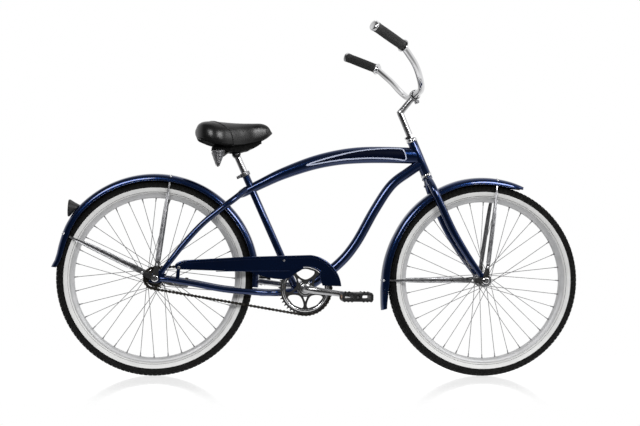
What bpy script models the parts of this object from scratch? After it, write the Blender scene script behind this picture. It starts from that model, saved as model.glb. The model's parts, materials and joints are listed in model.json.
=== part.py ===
"""A single-speed beach cruiser bicycle with a coaster brake, as separate pieces.

Metres, +Z up, +X towards the front wheel. The right-hand side, with the chain, is at -Y.
Places in the side view are (distance ahead of the rear axle, height above the ground),
and the function at() turns them into the model's own frame, whose origin lies on the
ground half way between the two ends of the bicycle.
"""

from math import acos, asin, atan2, cos, hypot, pi, radians, sin, sqrt

import bmesh
import bpy
from mathutils import Vector
from mathutils.geometry import tessellate_polygon

# Driving dimensions of the wheels.
WHEELBASE = 1.134
TYRE_RADIUS = 0.3335
TYRE_HALF_WIDTH = 0.0265
TYRE_STEPS = 30
RIM_RADIUS = 0.2865
RIM_INNER_RADIUS = 0.2716
RIM_HALF_WIDTH = 0.0175
SPOKES_PER_FLANGE = 18
SPOKE_RADIUS = 0.0011
SPOKE_LEAD = radians(60)
AXLE_RADIUS = 0.0047

# Driving dimensions of the chain drive.
CHAIN_PITCH = 0.0127
CHAIN_LINKS = 112
RING_TEETH = 44
COG_TEETH = 18
CHAIN_Y = -0.041
BRACKET_HEIGHT = 0.301
CRANK_LENGTH = 0.165
CRANK_ANGLE = radians(-7.4)
TOOTH_HALF_THICKNESS = 0.0015

# Driving dimensions of the frame and the steering.
HEAD_ANGLE = radians(66.5)
HEAD_BOTTOM = (0.930, 0.701)
HEAD_LENGTH = 0.1205
HEAD_RADIUS = 0.017
HEAD_BORE = 0.0152
STEERER_RADIUS = 0.0127
STEERER_BORE = 0.0119
QUILL_RADIUS = 0.0110
SEAT_TOP = (0.3005, 0.695)
SEAT_SLOPE = 0.4536
SEAT_TUBE_RADIUS = 0.0127
SEAT_BORE = 0.0119
SEATPOST_RADIUS = 0.0111
BRACKET_SHELL_RADIUS = 0.0285
BRACKET_BORE = 0.0256
BRACKET_HALF_WIDTH = 0.034
BAR_CLAMP = (0.889, 0.975)
STEM_ELBOW_HEIGHT = 0.912

# Fenders, with the guard and the saddle.
FENDER_CROWN = 0.355
SHEET = 0.0014
GUARD_FACE_Y = -0.062
GUARD_FLANGE = 0.014
SADDLE_PIVOT_HEIGHT = 0.760
SPRING_PLACE = (0.209, 0.058)
SPRING_TOP = 0.7705
SPRING_BOTTOM = 0.7205
SPRING_WIRE = 0.0018
SPRING_CURLS = 5
CURL_POINTS = 8

GAP = 0.0003
REAR_END = -0.3496
FRONT_END = WHEELBASE + TYRE_RADIUS / cos(pi / TYRE_STEPS)
ORIGIN_AHEAD = (FRONT_END + REAR_END) / 2
RIGHT = -1
LEFT = 1
SIDES = (("right", RIGHT), ("left", LEFT))


def at(x, y, z):
    """A point given by its distance ahead of the rear axle, its side and its height."""
    return Vector((x - ORIGIN_AHEAD, y, z))


def flat(angle, length=1.0):
    """A vector in the side view, at an angle above straight ahead."""
    return Vector((cos(angle) * length, 0, sin(angle) * length))


ACROSS = Vector((0, 1, 0))
REAR_AXLE = at(0, 0, TYRE_RADIUS)
FRONT_AXLE = at(WHEELBASE, 0, TYRE_RADIUS)
RING_RADIUS = CHAIN_PITCH * RING_TEETH / (2 * pi)
COG_RADIUS = CHAIN_PITCH * COG_TEETH / (2 * pi)


def chain_length(distance):
    """Length of a chain round the ring and the cog, by the distance between them."""
    step = RING_RADIUS - COG_RADIUS
    lean = asin(step / distance)
    return 2 * distance * cos(lean) + pi * (RING_RADIUS + COG_RADIUS) + 2 * step * lean


def drive_distance():
    """Distance from the rear axle to the crank that suits a whole number of links."""
    low, high = 0.4, 0.6
    for _ in range(40):
        middle = (low + high) / 2
        if chain_length(middle) < CHAIN_LINKS * CHAIN_PITCH:
            low = middle
        else:
            high = middle
    return low


DRIVE_DISTANCE = drive_distance()
BRACKET_AHEAD = sqrt(DRIVE_DISTANCE ** 2 - (TYRE_RADIUS - BRACKET_HEIGHT) ** 2)
BRACKET = at(BRACKET_AHEAD, 0, BRACKET_HEIGHT)

HEAD_UP = Vector((-cos(HEAD_ANGLE), 0, sin(HEAD_ANGLE)))
SEAT_UP = Vector((-SEAT_SLOPE, 0, 1)).normalized()


def on_head(distance):
    """A point on the steering axis, above the bottom of the head tube."""
    return at(HEAD_BOTTOM[0], 0, HEAD_BOTTOM[1]) + HEAD_UP * distance


def on_seat(height):
    """The point of the seat tube's axis at a height above the ground."""
    return at(SEAT_TOP[0] - SEAT_SLOPE * (height - SEAT_TOP[1]), 0, height)


def at_pedal(sign):
    """Centre of the crank's pedal eye on a side."""
    return BRACKET + flat(CRANK_ANGLE, -sign * CRANK_LENGTH)


# Scene and materials.


def clear_scene():
    for item in list(bpy.data.objects):
        bpy.data.objects.remove(item)


def material(name, colour, roughness, metallic=0.0):
    made = bpy.data.materials.new(name)
    made.use_nodes = True
    shader = made.node_tree.nodes["Principled BSDF"]
    shader.inputs["Base Color"].default_value = (*colour, 1.0)
    shader.inputs["Roughness"].default_value = roughness
    shader.inputs["Metallic"].default_value = metallic
    return made


def pivot(name, place, parent=None):
    """An empty on a joint's axis, which the pieces of a moving body hang on."""
    empty = bpy.data.objects.new(name, None)
    empty["place"] = tuple(place)
    empty.location = place - (Vector(parent["place"]) if parent else Vector())
    empty.parent = parent
    bpy.context.collection.objects.link(empty)
    return empty


def piece(name, shape, finish, parent):
    """An object from a bmesh in the model's frame, hung on its body's pivot."""
    bmesh.ops.recalc_face_normals(shape, faces=shape.faces)
    bmesh.ops.translate(shape, vec=-Vector(parent["place"]), verts=shape.verts)
    mesh = bpy.data.meshes.new(name)
    shape.to_mesh(mesh)
    shape.free()
    mesh.materials.append(finish)
    mesh.shade_smooth()
    mesh.set_sharp_from_angle(angle=radians(35))
    made = bpy.data.objects.new(name, mesh)
    made.parent = parent
    bpy.context.collection.objects.link(made)
    return made


# Shapes.


def square_to(axis, hint=(0, 0, 1)):
    """Two directions square to an axis and to each other, the first nearest the hint."""
    axis = Vector(axis).normalized()
    first = Vector(hint) - axis * axis.dot(Vector(hint))
    if first.length < 1e-4:
        first = axis.orthogonal()
    first.normalize()
    return first, axis.cross(first)


def skin(shape, rings, closed):
    """Quads between rings of vertices, from the last ring to the first one too if closed."""
    pairs = zip(rings, rings[1:] + rings[:1]) if closed else zip(rings, rings[1:])
    for one, two in pairs:
        for k in range(len(one)):
            j = (k + 1) % len(one)
            shape.faces.new((one[k], one[j], two[j], two[k]))


def sweep(path, sides=10, hint=ACROSS):
    """A tube along rows of (centre, half width along the hint, half height)."""
    shape = bmesh.new()
    side = Vector(hint)
    rings = []
    for k, (centre, wide, high) in enumerate(path):
        before = path[max(k - 1, 0)][0]
        after = path[min(k + 1, len(path) - 1)][0]
        ahead = (after - before).normalized()
        side = (side - ahead * side.dot(ahead)).normalized()
        up = ahead.cross(side)
        ring = []
        for n in range(sides):
            turn = 2 * pi * (n + 0.5) / sides
            ring.append(shape.verts.new(centre + side * wide * cos(turn) + up * high * sin(turn)))
        rings.append(ring)
    skin(shape, rings, False)
    shape.faces.new(rings[0][::-1])
    shape.faces.new(rings[-1])
    return shape


def strap(path, hint):
    """A flat bar along rows of (centre, half width along the hint, half thickness)."""
    corner = sqrt(2)
    return sweep([(row[0], row[1] * corner, row[2] * corner) for row in path], 4, hint)


def smooth(rows, steps):
    """Rows of numbers on a smooth curve through the given rows."""
    made = []
    for k in range(len(rows) - 1):
        near = (rows[max(k - 1, 0)], rows[k], rows[k + 1], rows[min(k + 2, len(rows) - 1)])
        for n in range(steps):
            t = n / steps
            made.append([
                (2 * b + (c - a) * t + (2 * a - 5 * b + 4 * c - d) * t ** 2
                 + (3 * b - a - 3 * c + d) * t ** 3) / 2
                for a, b, c, d in zip(*near)
            ])
    return made + [list(rows[-1])]


def tube(rows, steps=3, sides=10):
    """A smooth tube through rows of (ahead, side, height, half width, half height)."""
    return sweep([(at(*row[:3]), row[3], row[4]) for row in smooth(rows, steps)], sides)


def turned(profile, base, axis, steps=16, phase=0.5, closed=True):
    """A shape turned about an axis, from points of (distance along it, radius).

    A closed profile makes a ring; an open one is closed by flat ends.
    """
    first, second = square_to(axis)
    axis = Vector(axis).normalized()
    shape = bmesh.new()
    turns = [2 * pi * (n + phase) / steps for n in range(steps)]
    rings = []
    for along, radius in profile:
        centre = base + axis * along
        rings.append([
            shape.verts.new(centre + (first * cos(a) + second * sin(a)) * radius) for a in turns
        ])
    skin(shape, rings, closed)
    if not closed:
        shape.faces.new(rings[0][::-1])
        shape.faces.new(rings[-1])
    return shape


def rod(base, axis, radius, length, steps=12):
    """A plain round bar from a point along an axis."""
    return turned([(0, radius), (length, radius)], base, axis, steps, closed=False)


def washer(base, axis, inner, outer, length, steps=16):
    """A plain ring from a point along an axis."""
    return turned([(0, inner), (0, outer), (length, outer), (length, inner)], base, axis, steps)


def plate(outline, low, high, holes=()):
    """A flat plate in the side view, between two sides, with holes through it."""
    loops = [[at(x, 0, z) for x, z in loop] for loop in (outline, *holes)]
    points = [point for loop in loops for point in loop]
    faces = tessellate_polygon(loops) if holes else [range(len(points))]
    shape = bmesh.new()
    near = [shape.verts.new(point + ACROSS * low) for point in points]
    far = [shape.verts.new(point + ACROSS * high) for point in points]
    for face in faces:
        shape.faces.new([near[k] for k in face])
        shape.faces.new([far[k] for k in reversed(face)])
    start = 0
    for loop in loops:
        for k in range(len(loop)):
            a, b = start + k, start + (k + 1) % len(loop)
            shape.faces.new((near[a], near[b], far[b], far[a]))
        start += len(loop)
    return shape


def block(centre, size):
    """A box by its centre and its three sizes."""
    shape = bmesh.new()
    bmesh.ops.create_cube(shape, size=1)
    bmesh.ops.scale(shape, vec=size, verts=shape.verts)
    bmesh.ops.translate(shape, vec=centre, verts=shape.verts)
    return shape


def gather(shapes):
    """One bmesh that holds several shapes, which stay separate."""
    whole = bmesh.new()
    for shape in shapes:
        mesh = bpy.data.meshes.new("loose")
        shape.to_mesh(mesh)
        whole.from_mesh(mesh)
        bpy.data.meshes.remove(mesh)
    return whole


def loose_object(shape):
    bmesh.ops.recalc_face_normals(shape, faces=shape.faces)
    mesh = bpy.data.meshes.new("loose")
    shape.to_mesh(mesh)
    shape.free()
    made = bpy.data.objects.new("loose", mesh)
    bpy.context.collection.objects.link(made)
    return made


def combine(base, tools, operation="UNION"):
    """One shape from a base and a list of tools, by exact Booleans."""
    target = loose_object(base)
    cutters = [loose_object(tool) for tool in tools]
    for cutter in cutters:
        change = target.modifiers.new("combine", "BOOLEAN")
        change.operation = operation
        change.solver = "EXACT"
        change.object = cutter
    graph = bpy.context.evaluated_depsgraph_get()
    result = target.evaluated_get(graph).to_mesh()
    shape = bmesh.new()
    shape.from_mesh(result)
    for item in [target, *cutters]:
        bpy.data.objects.remove(item)
    bmesh.ops.dissolve_limit(shape, angle_limit=radians(0.3), verts=shape.verts, edges=shape.edges)
    return shape


def around(centre, start, stop, radius, count):
    """Points of an arc in the side view, about a point given as (ahead, height)."""
    turns = [start + (stop - start) * k / (count - 1) for k in range(count)]
    return [(centre[0] + radius * cos(a), centre[1] + radius * sin(a)) for a in turns]


# The frame.

TOP_TUBE = [
    (0.300, 0, 0.629, 0.0150, 0.0155),
    (0.3600, 0, 0.6600, 0.0155, 0.0175),
    (0.4315, 0, 0.6945, 0.0165, 0.0200),
    (0.5325, 0, 0.7320, 0.0175, 0.0235),
    (0.6200, 0, 0.7530, 0.0180, 0.0262),
    (0.6990, 0, 0.7625, 0.0180, 0.0283),
    (0.7900, 0, 0.7652, 0.0175, 0.0285),
    (0.8930, 0, 0.7640, 0.0160, 0.0280),
]
DOWN_TUBE = [
    (0.915, 0, 0.745, 0.0165, 0.0170),
    (0.870, 0, 0.711, 0.0168, 0.0170),
    (0.807, 0, 0.662, 0.0168, 0.0170),
    (0.751, 0, 0.567, 0.0168, 0.0170),
    (0.686, 0, 0.453, 0.0168, 0.0170),
    (0.621, 0, 0.378, 0.0168, 0.0170),
    (0.515, 0, 0.303, 0.0168, 0.0170),
]
SEAT_STAY = [
    (0.3050, 0.0100, 0.6380, 0.0100, 0.0110),
    (0.2850, 0.0230, 0.6210, 0.0100, 0.0110),
    (0.2600, 0.0370, 0.6010, 0.0100, 0.0110),
    (0.2200, 0.0455, 0.5710, 0.0098, 0.0108),
    (0.1570, 0.0475, 0.5180, 0.0095, 0.0105),
    (0.0970, 0.0500, 0.4520, 0.0092, 0.0105),
    (0.0480, 0.0560, 0.3880, 0.0080, 0.0095),
    (0.0200, 0.0575, 0.3520, 0.0060, 0.0085),
]
CHAINSTAY = [
    (0.0180, 0.0575, 0.3320, 0.0060, 0.0085),
    (0.0450, 0.0570, 0.3295, 0.0080, 0.0092),
    (0.1290, 0.0520, 0.3180, 0.0098, 0.0103),
    (0.2320, 0.0470, 0.3000, 0.0100, 0.0105),
    (0.3260, 0.0440, 0.2890, 0.0100, 0.0105),
    (0.3700, 0.0370, 0.2860, 0.0095, 0.0105),
    (0.4100, 0.0250, 0.2860, 0.0095, 0.0105),
    (0.4900, 0.0190, 0.2920, 0.0095, 0.0105),
]


def rear_dropout(sign):
    """A slotted plate that holds the rear axle on a side."""
    h = TYRE_RADIUS
    slot = 0.0053
    outline = [
        (-0.020, h - 0.013), (0.004, h - 0.016), (0.030, h - 0.010), (0.036, h + 0.002),
        (0.030, h + 0.020), (0.040, h + 0.036), (0.030, h + 0.040), (0.010, h + 0.024),
        (-0.006, h + 0.014), (-0.020, h + 0.012), (-0.020, h + slot), (0.003, h + slot),
        (0.0062, h), (0.003, h - slot), (-0.020, h - slot),
    ]
    low, high = sorted((sign * 0.055, sign * 0.060))
    return plate(outline, low, high)


def guard_tab():
    """The upright strip on the right chainstay that carries the guard's rear bolt."""
    outline = [(0.0685, 0.322), (0.0815, 0.320), (0.0860, 0.372), (0.0800, 0.3785), (0.0740, 0.372)]
    return plate(outline, GUARD_FACE_Y + SHEET + GAP, -0.0560)


def main_frame(finish, parent):
    head = rod(on_head(0), HEAD_UP, HEAD_RADIUS, HEAD_LENGTH, 14)
    seat_low = on_seat(0.296)
    seat_high = on_seat(SEAT_TOP[1])
    bridge = at(0.264, 0, 0.604)
    to_axle = (REAR_AXLE - bridge).normalized()
    to_fender = (REAR_AXLE - bridge).length - FENDER_CROWN - GAP
    parts = [
        tube(TOP_TUBE, 1, 10),
        tube(DOWN_TUBE, 2, 8),
        rod(seat_low, SEAT_UP, SEAT_TUBE_RADIUS, (seat_high - seat_low).length, 10),
        rod(BRACKET - ACROSS * BRACKET_HALF_WIDTH, ACROSS, BRACKET_SHELL_RADIUS,
            2 * BRACKET_HALF_WIDTH, 14),
        rod(bridge - ACROSS * 0.033, ACROSS, 0.006, 0.066, 8),
        rod(bridge, to_axle, 0.0045, to_fender, 6),
        block(at(0.393, 0, 0.2765), (0.072, 0.064, 0.004)),
        guard_tab(),
    ]
    for _, sign in SIDES:
        for rows in (SEAT_STAY, CHAINSTAY):
            parts.append(tube([(x, sign * y, z, w, h) for x, y, z, w, h in rows], 1, 8))
        parts.append(rear_dropout(sign))
    solid = combine(head, parts)
    bores = [
        rod(on_head(-0.03), HEAD_UP, HEAD_BORE, HEAD_LENGTH + 0.06, 10),
        rod(seat_high - SEAT_UP * 0.200, SEAT_UP, SEAT_BORE, 0.23, 10),
        rod(BRACKET - ACROSS * 0.06, ACROSS, BRACKET_BORE, 0.12, 14),
    ]
    return piece("main_frame", combine(solid, bores, "DIFFERENCE"), finish, parent)


def head_bearing(name, place, direction, finish, parent):
    """A headset cup with its ball ring, pressed into an end of the head tube."""
    inner = 0.0137
    profile = [(-0.009, inner), (-0.009, 0.0143), (GAP, 0.0143), (GAP, 0.0195), (0.0095, 0.0185),
               (0.0095, inner)]
    return piece(name, turned(profile, place, direction, 10), finish, parent)


def bracket_bearing(name, sign, finish, parent):
    """A bottom bracket cup with its ball ring, in a side of the shell."""
    inner = 0.0129
    profile = [(-0.012, inner), (-0.012, 0.0246), (GAP, 0.0246), (GAP, 0.0280), (0.0025, 0.0270),
               (0.0025, inner)]
    place = BRACKET + ACROSS * sign * BRACKET_HALF_WIDTH
    return piece(name, turned(profile, place, ACROSS * sign, 10), finish, parent)


def seat_clamp(finish, parent):
    """The collar round the top of the seat tube, with its bolt ears to the rear."""
    base = on_seat(SEAT_TOP[1]) - SEAT_UP * 0.011
    back = Vector((-SEAT_UP.z, 0, SEAT_UP.x))
    collar = washer(base, SEAT_UP, 0.0136, 0.0170, 0.0135, 10)
    ears = rod(base + SEAT_UP * 0.0065 + back * 0.0150, back, 0.0052, 0.0165, 6)
    bolt = rod(base + SEAT_UP * 0.0065 + back * 0.0245 - ACROSS * 0.010, ACROSS, 0.0040, 0.020, 6)
    return piece("seat_clamp", combine(collar, [ears, bolt]), finish, parent)


# Fenders and their stays.

# Rows of (angle about the wheel's axle in degrees, crown radius, half width, depth).
REAR_FENDER = [
    (-5, 0.3530, 0.0290, 0.0220), (4, 0.3550, 0.0310, 0.0240), (140, 0.3550, 0.0310, 0.0240),
    (150, 0.3510, 0.0310, 0.0240), (158, 0.3455, 0.0310, 0.0235), (166, 0.3415, 0.0310, 0.0215),
    (170, 0.3430, 0.0305, 0.0200), (174.3, 0.3523, 0.0270, 0.0180),
]
FRONT_FENDER = [
    (66.8, 0.3560, 0.0240, 0.0120), (72, 0.3570, 0.0300, 0.0210), (80, 0.3570, 0.0310, 0.0240),
    (110, 0.3550, 0.0310, 0.0240), (150, 0.3520, 0.0310, 0.0240), (182, 0.3520, 0.0310, 0.0230),
    (187, 0.3580, 0.0310, 0.0215), (191.5, 0.3635, 0.0295, 0.0200), (196.6, 0.3715, 0.0270, 0.0180),
]
FENDER_STEP = 12.0


def fender_at(rows, angle):
    """Crown radius, half width and depth of a fender at an angle."""
    for one, two in zip(rows, rows[1:]):
        if angle <= two[0]:
            t = (angle - one[0]) / (two[0] - one[0])
            return [a + (b - a) * t for a, b in zip(one[1:], two[1:])]
    return rows[-1][1:]


def fender_section(crown, wide, deep, inset=0.0):
    """Points of (side, radius) across a fender, at a distance inside its outer skin."""
    half = [(wide, crown - deep), (wide * 0.91, crown - deep * 0.42), (wide * 0.45, crown - deep * 0.05)]
    line = half + [(-y, r) for y, r in half[::-1]]
    moved = []
    for k, (y, r) in enumerate(line):
        before, after = line[max(k - 1, 0)], line[min(k + 1, len(line) - 1)]
        dy, dr = after[0] - before[0], after[1] - before[1]
        size = hypot(dy, dr)
        moved.append((y - dr / size * inset, r - abs(dy) / size * inset))
    return moved


def fender_angles(rows):
    """Even steps between the rows that shape the fender."""
    angles = []
    for one, two in zip(rows, rows[1:]):
        count = max(1, round((two[0] - one[0]) / FENDER_STEP))
        angles += [one[0] + (two[0] - one[0]) * k / count for k in range(count)]
    return angles + [rows[-1][0]]


def fender(name, axle, rows, finish, parent):
    shape = bmesh.new()
    rings = []
    for angle in fender_angles(rows):
        sizes = fender_at(rows, angle)
        outer = fender_section(*sizes)
        inner = fender_section(*sizes, inset=SHEET)
        across = outer + inner[::-1]
        rings.append([
            shape.verts.new(axle + flat(radians(angle), r) + ACROSS * y) for y, r in across
        ])
    skin(shape, rings, False)
    for ring in (rings[0], rings[-1]):
        half = len(ring) // 2
        for k in range(half - 1):
            shape.faces.new((ring[k], ring[k + 1], ring[-k - 2], ring[-k - 1]))
    return piece(name, shape, finish, parent)


def stay(name, axle, rows, angle, foot_y, finish, parent):
    """A bent strap from one side's stay lug, under the fender's crown, to the other's."""
    crown, wide, deep = fender_at(rows, angle)
    flat_of_step = crown * (1 - cos(radians(FENDER_STEP / 2)))
    inset = SHEET + GAP + flat_of_step + 0.0011
    arch = fender_section(crown, wide, deep, inset)
    arch = [(y, r) for y, r in arch if y >= 0]
    leg = [(foot_y, 0.040, 0.0062), (foot_y, 0.058, 0.0062), (0.0460, 0.225, 0.0070),
           (0.0345, 0.295, 0.0055)]
    half = leg + [(y, r, 0.0040) for y, r in arch]
    path = half + [(-y, r, w) for y, r, w in half[::-1]]
    around_wheel = flat(radians(angle) + pi / 2)
    places = [(axle + flat(radians(angle), r) + ACROSS * y, w, 0.0008) for y, r, w in path]
    return piece(name, strap(places, around_wheel), finish, parent)


def stay_lug(name, axle, angles, inner_y, sign, finish, parent):
    """The black plate under an axle nut whose two arms carry the stays."""
    centre = (axle.x + ORIGIN_AHEAD, axle.z)
    first, second = (radians(a) for a in angles)
    outline = []
    for angle in (first, second):
        tip = (centre[0] + 0.047 * cos(angle), centre[1] + 0.047 * sin(angle))
        outline += around(tip, angle - pi / 2, angle + pi / 2, 0.0068, 3)
        if angle == first:
            outline += around(centre, (first + second) / 2, second, 0.0150, 2)[:1]
    outline += around(centre, second + radians(60), first + 2 * pi - radians(60), 0.0130, 4)
    hole = around(centre, 0, 2 * pi * 5 / 6, AXLE_RADIUS + 0.0012, 6)
    low, high = sorted((sign * inner_y, sign * (inner_y + 0.0027)))
    return piece(name, plate(outline, low, high, [hole]), finish, parent)


def axle_nut(name, axle, inner_y, sign, finish, parent):
    """A hexagon nut on an axle, with a round flange; every second vertex is on a corner."""
    bore = AXLE_RADIUS + 0.0007
    flat_radius = 0.0088 * cos(pi / 6)
    rows = [(0, bore, bore), (0, 0.0118, 0.0118), (0.0028, 0.0088, flat_radius),
            (0.0100, 0.0088, flat_radius), (0.0100, bore, bore)]
    place = axle + ACROSS * sign * inner_y
    first, second = square_to(ACROSS)
    shape = bmesh.new()
    rings = []
    for along, corner, middle in rows:
        ring = []
        for n in range(12):
            turn = 2 * pi * n / 12
            radius = middle if n % 2 else corner
            out = (first * cos(turn) + second * sin(turn)) * radius
            ring.append(shape.verts.new(place + ACROSS * sign * along + out))
        rings.append(ring)
    skin(shape, rings, True)
    return piece(name, shape, finish, parent)


def reflector(housing_finish, lens_finish, parent):
    """The round reflector on the rear fender: its tapered housing and its lens."""
    face = at(-0.2955, 0, 0.5680)
    ahead = Vector((1, 0, -0.05)).normalized()
    radius = 0.0290
    cup = turned([(0.0022, radius - 0.0025), (0, radius - 0.0025), (0, radius), (0.006, radius),
                  (0.040, 0.0120), (0.060, 0.0100)], face, ahead, 12, closed=False)
    outward = flat(pi - atan2(face.z - TYRE_RADIUS, 0.262))
    room = turned([(FENDER_CROWN + GAP, 0.07), (FENDER_CROWN + 0.12, 0.07)], REAR_AXLE, outward, 4,
                  closed=False)
    piece("rear_reflector", combine(cup, [room], "INTERSECT"), housing_finish, parent)
    lens = rod(face + ahead * 0.0002, ahead, radius - 0.0032, 0.0016, 12)
    piece("rear_reflector_lens", lens, lens_finish, parent)


# The chain guard.


def guard_outline():
    """The guard's edge in the side view: tail, top line, round nose and crank cut-out."""
    centre = (BRACKET_AHEAD + 0.003, BRACKET_HEIGHT)
    tail = [(0.0845, 0.3613), (0.0715, 0.3660), (0.0665, 0.3757), (0.0745, 0.3870),
            (0.0975, 0.3955), (0.2980, 0.4085)]
    nose = []
    for k in range(9):
        angle = radians(84 - 79 * k / 8)
        radius = 0.1165 + 0.0030 * k / 8
        nose.append((centre[0] + radius * cos(angle), centre[1] + radius * sin(angle)))
    cut_out = [(0.5690, 0.3130), (0.5610, 0.3350), (0.5585, 0.3560)]
    cut_out += around(centre, radians(50), radians(100), 0.0775, 5)
    cut_out += [(0.4990, 0.3676), (0.4725, 0.3518), (0.4550, 0.3395), (0.4330, 0.3335),
                (0.4080, 0.3345), (0.3850, 0.3383), (0.3450, 0.3490), (0.3150, 0.3608)]
    return tail, nose, cut_out


def chain_guard(finish, parent):
    """A pressed sheet guard whose top edge and nose are turned in over the chain."""
    tail, nose, cut_out = guard_outline()
    face, back = GUARD_FACE_Y, GUARD_FACE_Y + GUARD_FLANGE
    body = plate(tail + nose + cut_out, face, back)
    centre = (BRACKET_AHEAD + 0.003, BRACKET_HEIGHT)
    inner_nose = []
    for x, z in nose:
        size = hypot(x - centre[0], z - centre[1])
        inner_nose.append((x - (x - centre[0]) / size * SHEET, z - (z - centre[1]) / size * SHEET))
    hollow = [(0.04, 0.30), (0.04, 0.3757), (0.0680, 0.3757), (0.0756, 0.3859),
              (0.0978, 0.3941), (0.2980, 0.4071), *inner_nose, (0.6320, 0.29)]
    cutter = plate(hollow, face + SHEET, back + 0.01)
    shape = combine(body, [cutter], "DIFFERENCE")
    return piece("chain_guard", shape, finish, parent)


def guard_bracket(finish, parent):
    """A band round the seat tube with an arm that reaches the guard's inner face."""
    height = 0.4015
    centre = on_seat(height)
    band = washer(centre - SEAT_UP * 0.0055, SEAT_UP, SEAT_TUBE_RADIUS + 0.0010, 0.0158, 0.011, 10)
    reach = abs(GUARD_FACE_Y) - SHEET - GAP
    arm = block(centre + Vector((0, -(reach + 0.0142) / 2, 0)), (0.011, reach - 0.0142, 0.0022))
    foot = block(centre + Vector((0, -reach + 0.0011, -0.004)), (0.011, 0.0022, 0.0100))
    return piece("guard_bracket", combine(band, [arm, foot]), finish, parent)


# The coaster brake.


def brake_arm(finish, parent):
    """The arm inside the left dropout that holds the brake's cone still."""
    h = TYRE_RADIUS
    outline = around((0, h), radians(60), radians(250), 0.0165, 6)
    outline += [(0.020, 0.3155), (0.045, 0.3055), (0.100, 0.2975), (0.112, 0.2990),
                (0.112, 0.3090), (0.100, 0.3095), (0.050, 0.3180), (0.018, 0.3360)]
    hole = around((0, h), 0, 2 * pi * 5 / 6, AXLE_RADIUS + 0.0012, 6)
    return piece("brake_arm", plate(outline, 0.0452, 0.0475, [hole]), finish, parent)


def brake_arm_clip(finish, parent):
    """The strap that ties the brake arm's end to the left chainstay."""
    rows = smooth([(x, y, z) for x, y, z, _, _ in CHAINSTAY], 4)
    here = min(range(1, len(rows) - 1), key=lambda k: abs(rows[k][0] - 0.103))
    centre, along = at(*rows[here]), (at(*rows[here + 1]) - at(*rows[here - 1])).normalized()
    band = washer(centre - along * 0.005, along, 0.0116, 0.0132, 0.010, 8)
    tab = block(at(0.104, 0.0490, 0.3035), (0.009, 0.0024, 0.0140))
    return piece("brake_arm_clip", combine(band, [tab]), finish, parent)


def brake_shoes(finish, parent):
    """The ring of brake shoes that stands still inside the rear hub shell."""
    shape = washer(REAR_AXLE - ACROSS * 0.012, ACROSS, 0.0130, 0.0188, 0.032, 12)
    slot = block(REAR_AXLE + Vector((0, 0.004, 0.016)), (0.0016, 0.05, 0.012))
    return piece("brake_shoes", combine(shape, [slot], "DIFFERENCE"), finish, parent)


# The fork, the headset nut and the stem.

FORK_BLADE = [
    (0.9380, 0.0090, 0.6827, 0.0115, 0.0125),
    (0.9430, 0.0280, 0.6690, 0.0120, 0.0130),
    (0.9530, 0.0450, 0.6440, 0.0118, 0.0128),
    (0.9750, 0.0500, 0.6000, 0.0115, 0.0125),
    (1.0200, 0.0505, 0.5080, 0.0107, 0.0117),
    (1.0680, 0.0505, 0.4260, 0.0092, 0.0100),
    (1.1180, 0.0505, 0.3530, 0.0045, 0.0075),
]


def fork_end(sign):
    """A slotted plate at the foot of a fork blade."""
    neck = atan2(0.353 - TYRE_RADIUS, 1.118 - WHEELBASE)
    along, across = Vector((cos(neck), sin(neck))), Vector((-sin(neck), cos(neck)))
    slot = 0.0053
    shape = [(0.034, -0.006), (0.012, -0.0125), (0.000, -0.0150), (-0.011, -0.0125),
             (-0.0140, -slot), (0, -slot), (0.0048, -0.0028), (0.0048, 0.0028), (0, slot),
             (-0.0140, slot), (-0.011, 0.0125), (0.000, 0.0150), (0.012, 0.0125), (0.034, 0.006)]
    centre = Vector((WHEELBASE, TYRE_RADIUS))
    outline = [tuple(centre + along * u + across * v) for u, v in shape]
    low, high = sorted((sign * 0.048, sign * 0.053))
    return plate(outline, low, high)


def fork(finish, parent):
    steerer = rod(on_head(-0.022), HEAD_UP, STEERER_RADIUS, HEAD_LENGTH + 0.044, 12)
    race = rod(on_head(-0.0195), HEAD_UP, 0.0175, 0.0097, 12)
    crown = on_head(-0.015)
    to_axle = (FRONT_AXLE - crown).normalized()
    to_fender = (FRONT_AXLE - crown).length - FENDER_CROWN - GAP
    parts = [race, rod(crown, to_axle, 0.0050, to_fender, 6)]
    for _, sign in SIDES:
        parts.append(tube([(x, sign * y, z, w, h) for x, y, z, w, h in FORK_BLADE], 1, 8))
        parts.append(fork_end(sign))
    solid = combine(steerer, parts)
    bore = rod(on_head(-0.014), HEAD_UP, STEERER_BORE, HEAD_LENGTH + 0.06, 12)
    return piece("fork", combine(solid, [bore], "DIFFERENCE"), finish, parent)


def head_locknut(finish, parent):
    """The adjusting cone and the locknut on top of the headset."""
    inner = 0.0134
    base = on_head(HEAD_LENGTH + 0.0099)
    profile = [(0, inner), (0, 0.0180), (0.0045, 0.0160), (0.0055, 0.0200), (0.0125, 0.0195),
               (0.0145, 0.0160), (0.0145, inner)]
    return piece("head_locknut", turned(profile, base, HEAD_UP, 10), finish, parent)


def stem_points():
    """The elbow and the clamp's centre of the stem."""
    rise = (STEM_ELBOW_HEIGHT - HEAD_BOTTOM[1]) / sin(HEAD_ANGLE)
    return on_head(rise), at(BAR_CLAMP[0], 0, BAR_CLAMP[1])


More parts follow.
